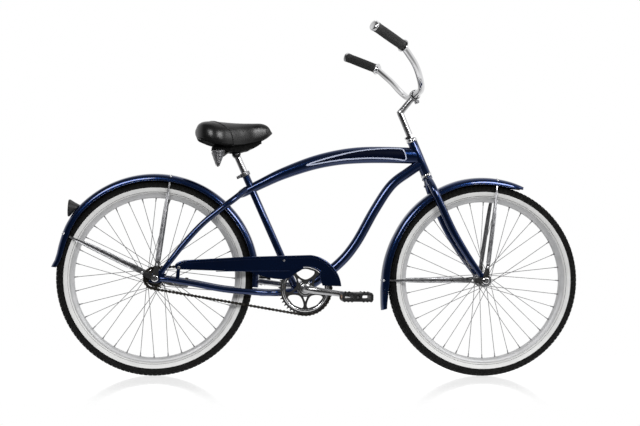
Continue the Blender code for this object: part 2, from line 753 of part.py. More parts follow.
def stem(finish, parent):
    """The quill, the sharp elbow, the arm and the split clamp, from one forging."""
    elbow, clamp = stem_points()
    arm = (clamp - elbow).normalized()
    half_bend = acos(arm.dot(HEAD_UP)) / 2
    widened = QUILL_RADIUS / cos(half_bend)
    foot = on_head(0.030)
    path = [(foot, QUILL_RADIUS, QUILL_RADIUS),
            (elbow - HEAD_UP * 0.020, QUILL_RADIUS, QUILL_RADIUS),
            (elbow, QUILL_RADIUS, widened),
            (elbow + arm * 0.020, 0.0105, 0.0108),
            (clamp - arm * 0.008, 0.0125, 0.0105)]
    body = sweep(path, 8)
    ring = rod(clamp - ACROSS * 0.017, ACROSS, 0.0178, 0.034, 10)
    down = Vector((0.30, 0, -1)).normalized()
    lug = block(Vector(), (0.013, 0.026, 0.016))
    for vert in lug.verts:
        local = vert.co.copy()
        vert.co = clamp + down * (0.0225 + local.z) + ACROSS * local.y + down.cross(ACROSS) * local.x
    bolt_hole = rod(clamp + down * 0.0240 - ACROSS * 0.02, ACROSS, 0.0037, 0.04, 8)
    bar_hole = rod(clamp - ACROSS * 0.03, ACROSS, 0.0137, 0.06, 10)
    slit = block(clamp + down * 0.024, (0.030, 0.0020, 0.020))
    well = rod(on_head(0.020), HEAD_UP, 0.0048, 0.1750, 8)
    shape = combine(combine(body, [ring, lug]), [bar_hole, bolt_hole, slit, well], "DIFFERENCE")
    return piece("stem", shape, finish, parent)


def stem_expander(finish, parent):
    """The long bolt down the quill and the slanted wedge that it draws up."""
    wedge = rod(on_head(0.008), HEAD_UP, QUILL_RADIUS, 0.0205, 10)
    bolt = rod(on_head(0.020), HEAD_UP, 0.0040, 0.1600, 6)
    return piece("stem_expander", combine(wedge, [bolt]), finish, parent)


def stem_clamp_bolt(finish, parent):
    _, clamp = stem_points()
    down = Vector((0.30, 0, -1)).normalized()
    place = clamp + down * 0.0240 - ACROSS * 0.0135
    head = rod(place - ACROSS * 0.0060, ACROSS, 0.0062, 0.0057, 6)
    shank = rod(place - ACROSS * 0.0010, ACROSS, 0.0031, 0.0290, 6)
    return piece("stem_clamp_bolt", combine(head, [shank]), finish, parent)


# The handlebar and the grips.

BAR = [
    (0.8890, 0.000, 0.9750), (0.8890, 0.060, 0.9750), (0.8860, 0.148, 0.9820),
    (0.8700, 0.214, 1.0095), (0.8440, 0.264, 1.0505), (0.7960, 0.3125, 1.1030),
]
GRIP_END = (0.6880, 0.3900, 1.1560)
BAR_RADIUS = 0.0111
BAR_CENTRE_RADIUS = 0.0127
BAR_IN_GRIP = 0.136
GRIP_RADIUS = 0.0168
GRIP_LENGTH = 0.1305
CAP_END = 0.1431


def grip_line(sign):
    """The start of a grip and the direction that it runs in."""
    start, end = (at(p[0], sign * p[1], p[2]) for p in (BAR[-1], GRIP_END))
    return start, (end - start).normalized()


def handlebar(finish, parent):
    """The high-rise bar, with a flange on it before each grip."""
    half = smooth(BAR, 2)
    path, flanges = [], []
    for _, sign in SIDES:
        start, run = grip_line(sign)
        ends = [(start + run * BAR_IN_GRIP, BAR_RADIUS, BAR_RADIUS)]
        for x, y, z in half[::-1][:-1]:
            radius = BAR_CENTRE_RADIUS if y < 0.045 else BAR_RADIUS
            ends.append((at(x, sign * y, z), radius, radius))
        centre = [(at(*BAR[0]), BAR_CENTRE_RADIUS, BAR_CENTRE_RADIUS)]
        path = ends + centre if sign == RIGHT else path + ends[::-1]
        profile = [(-0.011, 0.0150), (-0.004, 0.0155), (-0.0035, 0.0215), (-0.0010, 0.0215)]
        flanges.append(turned(profile, start, run, 10, closed=False))
    shape = sweep(path, 8, Vector((0, 0, 1)))
    return piece("handlebar", combine(shape, flanges), finish, parent)


def grips(rubber, chrome, parent):
    """The two rubber grips, each closed by a domed cap over the bar's end."""
    bore = BAR_RADIUS + 0.0010
    for word, sign in SIDES:
        start, run = grip_line(sign)
        profile = [(GAP, bore), (GAP, GRIP_RADIUS), (GRIP_LENGTH, GRIP_RADIUS), (GRIP_LENGTH, bore)]
        piece("grip_" + word, turned(profile, start, run, 10), rubber, parent)
        edge = GRIP_LENGTH + GAP
        profile = [(BAR_IN_GRIP + 0.0015, bore), (edge, bore), (edge, 0.0178),
                   (CAP_END - 0.0055, 0.0180), (CAP_END, 0.0085)]
        cap = turned(profile, start, run, 10, closed=False)
        piece("grip_cap_" + word, cap, chrome, parent)


# The wheels.


def tyre(name, axle, finish, parent):
    """The casing, open towards the rim, with its flat facets standing on the ground."""
    crown = TYRE_RADIUS
    half = TYRE_HALF_WIDTH
    outer = [(0.0150, 0.2875), (half, 0.3030), (half * 0.83, 0.3210), (half * 0.34, crown)]
    profile = outer + [(-y, r) for y, r in outer[::-1]]
    profile += [(-0.0110, 0.2875), (0, 0.3245), (0.0110, 0.2875)]
    grown = 1 / cos(pi / TYRE_STEPS)
    shape = turned([(y, r * grown) for y, r in profile], axle, ACROSS, TYRE_STEPS)
    return piece(name, shape, finish, parent)


def rim(name, axle, finish, parent):
    """A steel rim: an outward channel with the spoke face inside."""
    wide = RIM_HALF_WIDTH
    profile = [(-wide, RIM_RADIUS), (-wide * 0.62, RIM_INNER_RADIUS), (wide * 0.62, RIM_INNER_RADIUS),
               (wide, RIM_RADIUS), (wide - 0.0022, RIM_RADIUS), (0, RIM_INNER_RADIUS + 0.0035),
               (-wide + 0.0022, RIM_RADIUS)]
    grown = 1 / cos(pi / TYRE_STEPS)
    shape = turned([(y, r * grown) for y, r in profile], axle, ACROSS, TYRE_STEPS)
    return piece(name, shape, finish, parent)


def spoke(axle, flange_y, hole_radius, number, hub_side):
    """One spoke: out of its flange's hole on the inner or outer face, then to the rim."""
    outward = 1 if number % 2 == 0 else -1
    angle = 2 * pi * number / SPOKES_PER_FLANGE + (pi / SPOKES_PER_FLANGE if hub_side < 0 else 0)
    rim_angle = angle + outward * SPOKE_LEAD
    hole = axle + flat(angle, hole_radius)
    bend = ACROSS * (flange_y + hub_side * (0.0040 if outward > 0 else -0.0026))
    tip = axle + flat(rim_angle, RIM_INNER_RADIUS - 0.0006) + ACROSS * hub_side * 0.003
    path = [(hole + ACROSS * flange_y, SPOKE_RADIUS, SPOKE_RADIUS),
            (hole + bend, SPOKE_RADIUS, SPOKE_RADIUS), (tip, SPOKE_RADIUS, SPOKE_RADIUS)]
    return sweep(path, 3, flat(angle))


def hub(name, axle, profile, flanges, hole_radius, finish, parent):
    """A hub shell with its laced spokes."""
    shell = turned(profile, axle, ACROSS, SPOKES_PER_FLANGE // 2, 1 / 8)
    spokes = []
    for flange_y in flanges:
        hub_side = 1 if flange_y > 0 else -1
        for number in range(SPOKES_PER_FLANGE):
            spokes.append(spoke(axle, flange_y, hole_radius, number, hub_side))
    return piece(name, combine(shell, [gather(spokes)]), finish, parent)


def front_hub(finish, parent):
    half = [(0.0365, 0.0064), (0.0365, 0.0130), (0.0322, 0.0255), (0.0298, 0.0255),
            (0.0288, 0.0150)]
    profile = [(-y, r) for y, r in half] + half[::-1]
    return hub("front_hub", FRONT_AXLE, profile, (-0.031, 0.031), 0.0205, finish, parent)


def rear_hub(finish, parent):
    """The coaster hub's shell, open to the right for the driver, with the brake's room inside."""
    profile = [(-0.0310, 0.0188), (-0.0310, 0.0245), (-0.0267, 0.0345), (-0.0243, 0.0345),
               (-0.0233, 0.0260), (0.0263, 0.0260), (0.0273, 0.0345), (0.0297, 0.0345),
               (0.0330, 0.0285), (0.0410, 0.0270), (0.0410, 0.0100), (0.0300, 0.0215),
               (-0.0230, 0.0215)]
    return hub("rear_hub", REAR_AXLE, profile, (-0.0255, 0.0285), 0.0295, finish, parent)


def axle_rod(name, axle, half_length, cones, finish, parent):
    """An axle with a cone on it at each side, from rows of (inner end, outer end)."""
    profile = [(-half_length, AXLE_RADIUS)]
    for start, end in cones:
        profile += [(start, AXLE_RADIUS), (start, 0.0086), (end, 0.0086), (end, AXLE_RADIUS)]
    profile += [(half_length, AXLE_RADIUS)]
    return piece(name, turned(profile, axle, ACROSS, 8, closed=False), finish, parent)


# The chain drive.


def toothed(centre, teeth, radius, first_gap):
    """The edge of a sprocket whose first gap between teeth lies at an angle."""
    step = 2 * pi / teeth
    root, tip = radius - 0.0044, radius + 0.0040
    base = 0.0031 / root
    points = []
    for k in range(teeth):
        gap = first_gap + k * step
        for angle, r in ((gap - base, root), (gap + base, root), (gap + step / 2, tip)):
            points.append((centre[0] + r * cos(angle), centre[1] + r * sin(angle)))
    return points


def drive_layout():
    """Places and directions of the chain's pins, and each sprocket's first gap."""
    bottom, axle = Vector((BRACKET_AHEAD, BRACKET_HEIGHT)), Vector((0, TYRE_RADIUS))
    lean = atan2(bottom.y - axle.y, bottom.x - axle.x)
    spread = asin((RING_RADIUS - COG_RADIUS) / DRIVE_DISTANCE)
    top, low = lean + pi / 2 + spread, lean - pi / 2 - spread
    straight = DRIVE_DISTANCE * cos(spread)
    ring_arc = RING_RADIUS * (top - low)
    cog_arc = COG_RADIUS * (2 * pi - (top - low))
    pins = []
    for k in range(CHAIN_LINKS):
        s = k * CHAIN_PITCH
        if s < ring_arc:
            a = top - s / RING_RADIUS
            pins.append((bottom.x + RING_RADIUS * cos(a), bottom.y + RING_RADIUS * sin(a)))
            continue
        s -= ring_arc
        if s < straight:
            t = s / straight
            one = bottom + RING_RADIUS * Vector((cos(low), sin(low)))
            two = axle + COG_RADIUS * Vector((cos(low), sin(low)))
            pins.append(tuple(one.lerp(two, t)))
            continue
        s -= straight
        if s < cog_arc:
            a = low - s / COG_RADIUS
            pins.append((axle.x + COG_RADIUS * cos(a), axle.y + COG_RADIUS * sin(a)))
            cog_gap = a
            continue
        s -= cog_arc
        one = axle + COG_RADIUS * Vector((cos(top), sin(top)))
        two = bottom + RING_RADIUS * Vector((cos(top), sin(top)))
        pins.append(tuple(one.lerp(two, s / straight)))
    return pins, top, cog_gap


CHAIN_PINS, RING_GAP, COG_GAP = drive_layout()


def chain(finish, parent):
    """Wide and narrow links in turn, two side plates each, joined across by the rollers.

    A plate is flat outside and bevelled inside, so its section is a triangle.
    """
    inner_face, outer_step, thick = 0.00185, 0.00115, 0.0012
    high, roller_low, roller_half = 0.0036, -0.0014, 0.0023
    shape = bmesh.new()
    count = len(CHAIN_PINS)
    points = [at(x, CHAIN_Y, z) for x, z in CHAIN_PINS]
    rails = {RIGHT: [], LEFT: []}
    for k, pin in enumerate(points):
        ahead, behind = points[(k + 1) % count], points[k - 1]
        for along, link in (((behind - pin).normalized(), k - 1), ((ahead - pin).normalized(), k)):
            up = along.cross(ACROSS) * (1 if link == k else -1)
            lift = inner_face + (outer_step if link % 2 else 0)
            place = pin + along * roller_half
            for sign, rail in rails.items():
                corners = ((lift, roller_low), (lift + thick, high), (lift + thick, -high))
                rail.append([shape.verts.new(place + ACROSS * sign * y + up * z) for y, z in corners])
    for rail in rails.values():
        for k, one in enumerate(rail):
            two = rail[(k + 1) % len(rail)]
            on_pin = k % 2 == 0
            for n in range(1 if on_pin else 0, 3):
                m = (n + 1) % 3
                shape.faces.new((one[n], one[m], two[m], two[n]))
    for k in range(0, 2 * count, 2):
        left, right = ((rail[k][0], rail[k][1], rail[k + 1][1], rail[k + 1][0])
                       for rail in (rails[LEFT], rails[RIGHT]))
        for n in range(4):
            m = (n + 1) % 4
            shape.faces.new((left[n], left[m], right[m], right[n]))
    return piece("chain", shape, finish, parent)


def polar(centre, rows, turn):
    """Points from rows of (degrees from a direction, radius)."""
    return [(centre[0] + r * cos(turn + radians(a)), centre[1] + r * sin(turn + radians(a)))
            for a, r in rows]


def chainring(finish, parent):
    """The toothed ring on five forked arms."""
    centre = (BRACKET_AHEAD, BRACKET_HEIGHT)
    window = [(-26, 0.0660), (0, 0.0680), (26, 0.0660), (29, 0.0580), (22, 0.0430), (0, 0.0325),
              (-22, 0.0430), (-29, 0.0580)]
    fork_hole = [(0, 0.0425), (13, 0.0285), (-13, 0.0285)]
    holes = [around(centre, 0, 2 * pi * 9 / 10, 0.0132, 10)]
    for k in range(5):
        arm = radians(-90) + 2 * pi * k / 5
        holes.append(polar(centre, window, arm + pi / 5))
        holes.append(polar(centre, fork_hole, arm))
    edge = toothed(centre, RING_TEETH, RING_RADIUS, RING_GAP)
    half = TOOTH_HALF_THICKNESS
    shape = plate(edge, CHAIN_Y - half, CHAIN_Y + half, holes)
    return piece("chainring", shape, finish, parent)


def rear_cog(finish, parent):
    """The rear sprocket, on the driver that enters the hub shell."""
    edge = toothed((0, TYRE_RADIUS), COG_TEETH, COG_RADIUS, COG_GAP)
    half = TOOTH_HALF_THICKNESS
    disc = plate(edge, CHAIN_Y - half, CHAIN_Y + half)
    driver = rod(REAR_AXLE + ACROSS * -0.0450, ACROSS, 0.0172, 0.0290, 10)
    bore = rod(REAR_AXLE - ACROSS * 0.06, ACROSS, 0.0066, 0.06, 8)
    shape = combine(combine(disc, [driver]), [bore], "DIFFERENCE")
    return piece("rear_cog", shape, finish, parent)


def crank(finish, parent):
    """The one-piece crank: its spindle, the shoulders on it, and an arm at each end."""
    spindle = [(-0.0480, 0.0175), (-0.0428, 0.0175), (-0.0428, 0.0120), (0.0400, 0.0120),
               (0.0400, 0.0165), (0.0440, 0.0165)]
    body = turned(spindle, BRACKET, ACROSS, 10, closed=False)
    rows = [(0.0000, 0.0432, 0.0118, 0.0118), (0.0020, 0.0500, 0.0122, 0.0122),
            (0.0130, 0.0590, 0.0126, 0.0105), (0.0320, 0.0668, 0.0122, 0.0080),
            (0.0560, 0.0718, 0.0112, 0.0062), (0.0950, 0.0745, 0.0100, 0.0058),
            (0.1540, 0.0772, 0.0105, 0.0058), (0.1650, 0.0775, 0.0128, 0.0062),
            (0.1750, 0.0775, 0.0090, 0.0052)]
    arms, eyes = [], []
    for _, sign in SIDES:
        path = []
        for reach, side, wide, high in rows:
            place = BRACKET + flat(CRANK_ANGLE, -sign * reach) + ACROSS * sign * side
            path.append((place, wide, high))
        arms.append(sweep(path, 8, flat(CRANK_ANGLE + pi / 2)))
        eyes.append(rod(at_pedal(sign) + ACROSS * sign * 0.06, ACROSS * sign, 0.0078, 0.04, 8))
    return piece("crank", combine(combine(body, arms), eyes, "DIFFERENCE"), finish, parent)


PEDAL_INNER = 0.0945
PEDAL_OUTER = 0.1885
PEDAL_HALF_LENGTH = 0.0520
PEDAL_HALF_HEIGHT = 0.0135
PEDAL_TOOTH = 0.0024
PEDAL_CROWN = 0.0010


def pedal_outline():
    """The pedal's edge in the side view, about its spindle, with three teeth at each end."""
    top = []
    for tooth in (-0.0445, -0.0320, -0.0195, 0.0195, 0.0320, 0.0445):
        for along, tall in ((-0.0035, 0), (0, PEDAL_TOOTH), (0.0035, 0)):
            x = tooth + along
            crown = PEDAL_CROWN * (1 - (x / PEDAL_HALF_LENGTH) ** 2)
            top.append((x, PEDAL_HALF_HEIGHT + crown + tall))
    end = [(PEDAL_HALF_LENGTH, 0.0080), (PEDAL_HALF_LENGTH, -0.0080)]
    return top + end + [(-x, -z) for x, z in top + end]


def pedal(name, sign, finish, parent):
    """A moulded platform pedal: two rails and a middle bar between toothed cheeks."""
    centre = at_pedal(sign)
    base = (centre.x + ORIGIN_AHEAD, centre.z)
    outline = [(base[0] + x, base[1] + z) for x, z in pedal_outline()]
    low, high = sorted((sign * PEDAL_INNER, sign * PEDAL_OUTER))
    middle = centre + ACROSS * (low + high) / 2
    body = plate(outline, low, high)
    cuts = [rod(centre + ACROSS * (low - 0.01), ACROSS, 0.0072, 0.12, 6)]
    for side in (-1, 1):
        cuts.append(block(middle + Vector((side * 0.0290, 0, 0)), (0.0260, 0.0720, 0.06)))
        cuts.append(block(middle + Vector((side * 0.0290, 0, 0)), (0.0210, 0.12, 0.0120)))
    return piece(name, combine(body, cuts, "DIFFERENCE"), finish, parent)


def pedal_spindle(name, sign, finish, parent):
    profile = [(0.0705, 0.0066), (0.0845, 0.0066), (0.0845, 0.0092), (0.0940, 0.0092),
               (0.0940, 0.0058), (0.1840, 0.0052)]
    shape = turned(profile, at_pedal(sign), ACROSS * sign, 8, closed=False)
    return piece(name, shape, finish, parent)


# The saddle.

SADDLE_PIVOT = on_seat(SADDLE_PIVOT_HEIGHT)
RAIL_HEIGHT = SADDLE_PIVOT_HEIGHT + 0.0105
RAIL_RADIUS = 0.0035

# Rows along the saddle of (ahead, half width, top height, edge height).
SADDLE = [
    (0.1335, 0.0560, 0.8440, 0.8200), (0.1400, 0.0850, 0.8560, 0.8080),
    (0.1560, 0.1060, 0.8650, 0.8010), (0.1850, 0.1180, 0.8675, 0.7915),
    (0.2200, 0.1130, 0.8655, 0.7850), (0.2550, 0.0920, 0.8640, 0.7840),
    (0.2900, 0.0660, 0.8640, 0.7880), (0.3250, 0.0470, 0.8650, 0.7960),
    (0.3560, 0.0370, 0.8650, 0.8060), (0.3780, 0.0290, 0.8560, 0.8180),
    (0.3910, 0.0160, 0.8370, 0.8290),
]


def saddle_cover(finish, parent):
    """The padded top: crowned, drawn in at its skirt, with a soft hollow along the middle."""
    shape = bmesh.new()
    rings = []
    for ahead, wide, top, edge in smooth(SADDLE, 2):
        rise = top - edge
        half = [(wide * 0.40, edge + 0.0100), (wide * 0.80, edge + 0.0040), (wide * 0.93, edge),
                (wide, edge + rise * 0.25), (wide * 0.96, edge + rise * 0.60),
                (wide * 0.78, edge + rise * 0.90), (wide * 0.20, top - 0.0010)]
        ring = half + [(-y, z) for y, z in half[::-1]]
        rings.append([shape.verts.new(at(ahead, y, z)) for y, z in ring])
    skin(shape, rings, False)
    shape.faces.new(rings[0][::-1])
    shape.faces.new(rings[-1])
    return piece("saddle_cover", shape, finish, parent)


def saddle_pan(finish, parent):
    """The arched steel pan under the cover, its nose hook and the domed caps of the springs."""
    shape = bmesh.new()
    rings = []
    sheet = 0.0035
    for ahead, wide, _, edge in SADDLE[2:9]:
        wide *= 0.78
        top = [(wide, edge + 0.0025), (wide * 0.5, edge + 0.0080), (-wide * 0.5, edge + 0.0080),
               (-wide, edge + 0.0025)]
        ring = top + [(y, z - sheet) for y, z in top[::-1]]
        rings.append([shape.verts.new(at(ahead, y, z)) for y, z in ring])
    skin(shape, rings, False)
    for ring in (rings[0], rings[-1]):
        for k in range(3):
            shape.faces.new((ring[k], ring[k + 1], ring[6 - k], ring[7 - k]))
    caps = []
    for _, sign in SIDES:
        place = at(SPRING_PLACE[0], sign * SPRING_PLACE[1], SPRING_TOP + 0.0010)
        profile = [(0, 0.0235), (0.0060, 0.0235), (0.0125, 0.0170), (0.0190, 0.0110)]
        caps.append(turned(profile, place, (0, 0, 1), 10, closed=False))
    hook = block(at(0.3540, 0, 0.8040), (0.0060, 0.0240, 0.0150))
    return piece("saddle_pan", combine(shape, [*caps, hook]), finish, parent)


def saddle_clamp(finish, parent):
    """The round clamp that grips the rails above the seatpost."""
    shape = rod(SADDLE_PIVOT - ACROSS * 0.029, ACROSS, 0.0145, 0.058, 12)
    grooves = [block(SADDLE_PIVOT + Vector((0, sign * 0.0215, 0.0155)), (0.04, 0.0082, 0.0180))
               for _, sign in SIDES]
    return piece("saddle_clamp", combine(shape, grooves, "DIFFERENCE"), finish, parent)


def saddle_rails(finish, parent):
    """One bent wire: up from each spring's foot, through the clamp and round the nose."""
    h = RAIL_HEIGHT
    y = SPRING_PLACE[1]
    foot = SPRING_BOTTOM - RAIL_RADIUS - 0.0012
    half = [
        (0.2030, y, foot), (0.2165, y, foot), (0.2250, y, foot + 0.0090),
        (0.2300, 0.0550, foot + 0.0245), (0.2350, 0.0470, foot + 0.0415), (0.2420, 0.0320, h - 0.0025),
        (0.2500, 0.0225, h), (0.2600, 0.0215, h), (0.2900, 0.0215, h), (0.3080, 0.0215, h + 0.0025),
        (0.3240, 0.0205, h + 0.0130), (0.3360, 0.0165, h + 0.0220), (0.3440, 0.0090, h + 0.0275),
    ]
    rows = half + [(x, -side, z) for x, side, z in half[::-1]]
    path = [(at(*row), RAIL_RADIUS, RAIL_RADIUS) for row in rows]
    return piece("saddle_rails", sweep(path, 5, (0, 0, 1)), finish, parent)


def cone_spring(name, sign, finish, parent):
    """A cone spring, wide under the pan and narrow at the rail, as one unbroken wire."""
    turns = round(SPRING_CURLS * CURL_POINTS)
    centre = at(SPRING_PLACE[0], sign * SPRING_PLACE[1], 0)
    base = Vector(parent["place"])
    points = []
    for k in range(turns + 1):
        t = k / turns
        angle = 2 * pi * SPRING_CURLS * t
        radius = 0.0065 + (0.0205 - 0.0065) * t
        height = SPRING_BOTTOM + SPRING_WIRE + (SPRING_TOP - SPRING_BOTTOM - 2 * SPRING_WIRE) * t
        points.append(centre + Vector((radius * cos(angle), radius * sin(angle), height)))
    for end, inner in ((0, 1), (-1, -2)):
        lead = (points[end] - points[inner]).normalized() * 2 * SPRING_WIRE
        lead.z = 0
        points.insert(0 if end == 0 else len(points), points[end] + lead)
    least = min((points[a] - points[b]).length
                for a in range(len(points)) for b in range(a + 5, len(points)))
    print(name, "least gap between its curls in mm:", round((least - 2 * SPRING_WIRE) * 1000, 2))
    curve = bpy.data.curves.new(name, "CURVE")
    curve.dimensions = "3D"
    curve.bevel_depth = SPRING_WIRE
    curve.bevel_resolution = 1
    curve.use_fill_caps = True
    line = curve.splines.new("POLY")
    line.points.add(len(points) - 1)
    for point, place in zip(line.points, points):
        point.co = (*(place - base), 1)
    curve.materials.append(finish)
    made = bpy.data.objects.new(name, curve)
    made.parent = parent
    bpy.context.collection.objects.link(made)
    return made


def seatpost(finish, parent):
    """The post, with a hollow in its top where the saddle clamp rolls."""
    length = 0.215
    shape = rod(SADDLE_PIVOT - SEAT_UP * length, SEAT_UP, SEATPOST_RADIUS, length, 10)
    cradle = rod(SADDLE_PIVOT - ACROSS * 0.03, ACROSS, 0.0154, 0.06, 12)
    return piece("seatpost", combine(shape, [cradle], "DIFFERENCE"), finish, parent)


# The whole bicycle.


def build():
    clear_scene()
    paint = material("navy_paint", (0.004, 0.012, 0.075), 0.18)
    chrome = material("chrome", (0.62, 0.62, 0.63), 0.12, 1.0)
    steel = material("dark_steel", (0.16, 0.16, 0.17), 0.35, 1.0)
    silver = material("silver_rim", (0.55, 0.56, 0.57), 0.35, 0.8)
    rubber = material("tyre_rubber", (0.018, 0.018, 0.018), 0.75)
    grip_rubber = material("grip_rubber", (0.02, 0.02, 0.02), 0.6)
    plastic = material("black_plastic", (0.012, 0.012, 0.013), 0.45)
    vinyl = material("black_vinyl", (0.02, 0.02, 0.021), 0.38)
    red = material("red_lens", (0.45, 0.01, 0.01), 0.2)

    frame = pivot("frame_origin", Vector())
    steering = pivot("steering_axis", on_head(0), frame)
    stem_slide = pivot("stem_axis", on_head(HEAD_LENGTH), steering)
    bar_tilt = pivot("bar_axis", at(BAR_CLAMP[0], 0, BAR_CLAMP[1]), stem_slide)
    front_wheel = pivot("front_wheel_axis", FRONT_AXLE, steering)
    rear_wheel = pivot("rear_wheel_axis", REAR_AXLE, frame)
    driver = pivot("driver_axis", REAR_AXLE, frame)
    cranks = pivot("crank_axis", BRACKET, frame)
    post = pivot("seatpost_axis", on_seat(SEAT_TOP[1]), frame)
    saddle_base = pivot("saddle_tilt_axis", SADDLE_PIVOT, post)
    saddle_top = pivot("saddle_spring_axis", at(0.3440, 0, 0.7980), saddle_base)

    main_frame(paint, frame)
    head_bearing("head_bearing_lower", on_head(0), -HEAD_UP, chrome, frame)
    head_bearing("head_bearing_upper", on_head(HEAD_LENGTH), HEAD_UP, chrome, frame)
    for word, sign in SIDES:
        bracket_bearing("bb_bearing_" + word, sign, steel, frame)
    seat_clamp(steel, frame)
    fender("rear_fender", REAR_AXLE, REAR_FENDER, paint, frame)
    stay("rear_stay_upper", REAR_AXLE, REAR_FENDER, 82, 0.0641, chrome, frame)
    stay("rear_stay_back", REAR_AXLE, REAR_FENDER, 154.5, 0.0641, chrome, frame)
    reflector(plastic, red, frame)
    chain_guard(paint, frame)
    guard_bracket(plastic, frame)
    axle_rod("rear_axle", REAR_AXLE, 0.078, ((-0.0547, -0.0455), (0.0480, 0.0547)), steel, frame)
    brake_arm(chrome, frame)
    brake_arm_clip(plastic, frame)
    brake_shoes(steel, frame)

    fork(paint, steering)
    head_locknut(chrome, steering)
    fender("front_fender", FRONT_AXLE, FRONT_FENDER, paint, steering)
    stay("front_stay_upper", FRONT_AXLE, FRONT_FENDER, 82.5, 0.0571, chrome, steering)
    stay("front_stay_back", FRONT_AXLE, FRONT_FENDER, 180.5, 0.0571, chrome, steering)
    axle_rod("front_axle", FRONT_AXLE, 0.069, ((-0.0477, -0.0370), (0.0370, 0.0477)), steel, steering)
    for word, sign in SIDES:
        axle_nut("rear_axle_nut_" + word, REAR_AXLE, 0.0633, sign, chrome, frame)
        stay_lug("rear_stay_lug_" + word, REAR_AXLE, (82, 154.5), 0.0603, sign, plastic, frame)
        axle_nut("front_axle_nut_" + word, FRONT_AXLE, 0.0563, sign, chrome, steering)
        stay_lug("front_stay_lug_" + word, FRONT_AXLE, (82.5, 180.5), 0.0533, sign, plastic, steering)

    stem(chrome, stem_slide)
    stem_expander(steel, stem_slide)
    stem_clamp_bolt(steel, stem_slide)
    handlebar(chrome, bar_tilt)
    grips(grip_rubber, chrome, bar_tilt)

    tyre("front_tyre", FRONT_AXLE, rubber, front_wheel)
    rim("front_rim", FRONT_AXLE, silver, front_wheel)
    front_hub(chrome, front_wheel)
    tyre("rear_tyre", REAR_AXLE, rubber, rear_wheel)
    rim("rear_rim", REAR_AXLE, silver, rear_wheel)
    rear_hub(chrome, rear_wheel)

    rear_cog(steel, driver)
    chain(steel, frame)
    crank(chrome, cranks)
    chainring(steel, cranks)
    for word, sign in SIDES:
        pedal_spindle("pedal_spindle_" + word, sign, steel, cranks)
        turning = pivot("pedal_axis_" + word, at_pedal(sign), cranks)
        pedal("pedal_" + word, sign, plastic, turning)

    seatpost(chrome, post)
    saddle_clamp(plastic, saddle_base)
    saddle_rails(plastic, saddle_base)
    for word, sign in SIDES:
        cone_spring("saddle_spring_" + word, sign, chrome, saddle_base)
    saddle_pan(plastic, saddle_top)
    saddle_cover(vinyl, saddle_top)


build()
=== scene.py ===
"""The looks of a beach cruiser bicycle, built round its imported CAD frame.

Metres, +Z up, +X towards the front wheel, and the chain side at -Y. Places in the side view
are (distance ahead of the rear axle, height above the ground), as in the part's source, and
at() turns them into the frame.
"""

import json
from math import acos, asin, atan2, cos, hypot, pi, radians, sin

import bmesh
import bpy
from mathutils import Matrix, Vector
from mathutils.geometry import tessellate_polygon


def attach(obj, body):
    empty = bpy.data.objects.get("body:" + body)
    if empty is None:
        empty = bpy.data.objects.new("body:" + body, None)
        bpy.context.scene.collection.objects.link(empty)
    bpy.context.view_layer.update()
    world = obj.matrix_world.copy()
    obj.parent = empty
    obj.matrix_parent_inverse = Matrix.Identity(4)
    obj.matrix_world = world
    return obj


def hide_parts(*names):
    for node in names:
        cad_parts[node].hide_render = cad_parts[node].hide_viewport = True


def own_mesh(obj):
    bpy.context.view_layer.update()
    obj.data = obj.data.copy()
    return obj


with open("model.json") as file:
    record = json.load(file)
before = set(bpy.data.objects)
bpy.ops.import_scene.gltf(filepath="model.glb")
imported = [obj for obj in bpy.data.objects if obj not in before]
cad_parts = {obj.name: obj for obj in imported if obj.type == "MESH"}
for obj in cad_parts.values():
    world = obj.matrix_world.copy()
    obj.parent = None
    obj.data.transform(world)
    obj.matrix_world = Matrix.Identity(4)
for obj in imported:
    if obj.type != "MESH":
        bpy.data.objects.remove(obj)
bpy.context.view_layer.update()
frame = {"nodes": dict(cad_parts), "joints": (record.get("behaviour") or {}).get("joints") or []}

JOINTS = {joint["name"]: joint for joint in frame["joints"]}


def joint_place(name):
    return Vector(JOINTS[name]["pos_m"])


def joint_axis(name):
    return Vector(JOINTS[name]["axis"]).normalized()


REAR_AXLE = joint_place("rear_wheel_spin")
FRONT_AXLE = joint_place("front_wheel_spin")
BRACKET = joint_place("crank_spin")
HEAD_BOTTOM = joint_place("steering")
HEAD_UP = joint_axis("steering")
SEAT_UP = joint_axis("seatpost_height")
SADDLE_PIVOT = joint_place("saddle_tilt")
BAR_CLAMP = joint_place("bar_tilt")
ORIGIN_AHEAD = -REAR_AXLE.x
TYRE_RADIUS = REAR_AXLE.z
WHEELBASE = FRONT_AXLE.x - REAR_AXLE.x
BRACKET_AHEAD = BRACKET.x - REAR_AXLE.x
BRACKET_HEIGHT = BRACKET.z
ACROSS = Vector((0, 1, 0))
AHEAD = Vector((1, 0, 0))
UP = Vector((0, 0, 1))
RIGHT = -1
LEFT = 1
SIDES = (("right", RIGHT), ("left", LEFT))

# Sizes.
HEAD_LENGTH = 0.1205
HEAD_RADIUS = 0.017
HEAD_BORE = 0.0152
STEERER_RADIUS = 0.0127
STEERER_BORE = 0.0119
QUILL_RADIUS = 0.0110
SEAT_TOP = (0.3005, 0.695)
SEAT_SLOPE = 0.4536
SEAT_TUBE_RADIUS = 0.0127
SEAT_BORE = 0.0119
SEATPOST_RADIUS = 0.0111
SHELL_RADIUS = 0.0285
SHELL_BORE = 0.0256
SHELL_HALF_WIDTH = 0.034
STEM_ELBOW_HEIGHT = 0.912
FENDER_CROWN = 0.355
SHEET = 0.0014
GUARD_FACE_Y = -0.062
GUARD_FLANGE = 0.014
RIM_RADIUS = 0.2865
RIM_INNER_RADIUS = 0.2716
RIM_HALF_WIDTH = 0.0175
WHITEWALL_RADIUS = 0.3075
SPOKES_PER_FLANGE = 18
SPOKE_RADIUS = 0.0011
SPOKE_LEAD = radians(60)
SPOKE_ELBOWS = {1: 0.0034, -1: -0.0026}
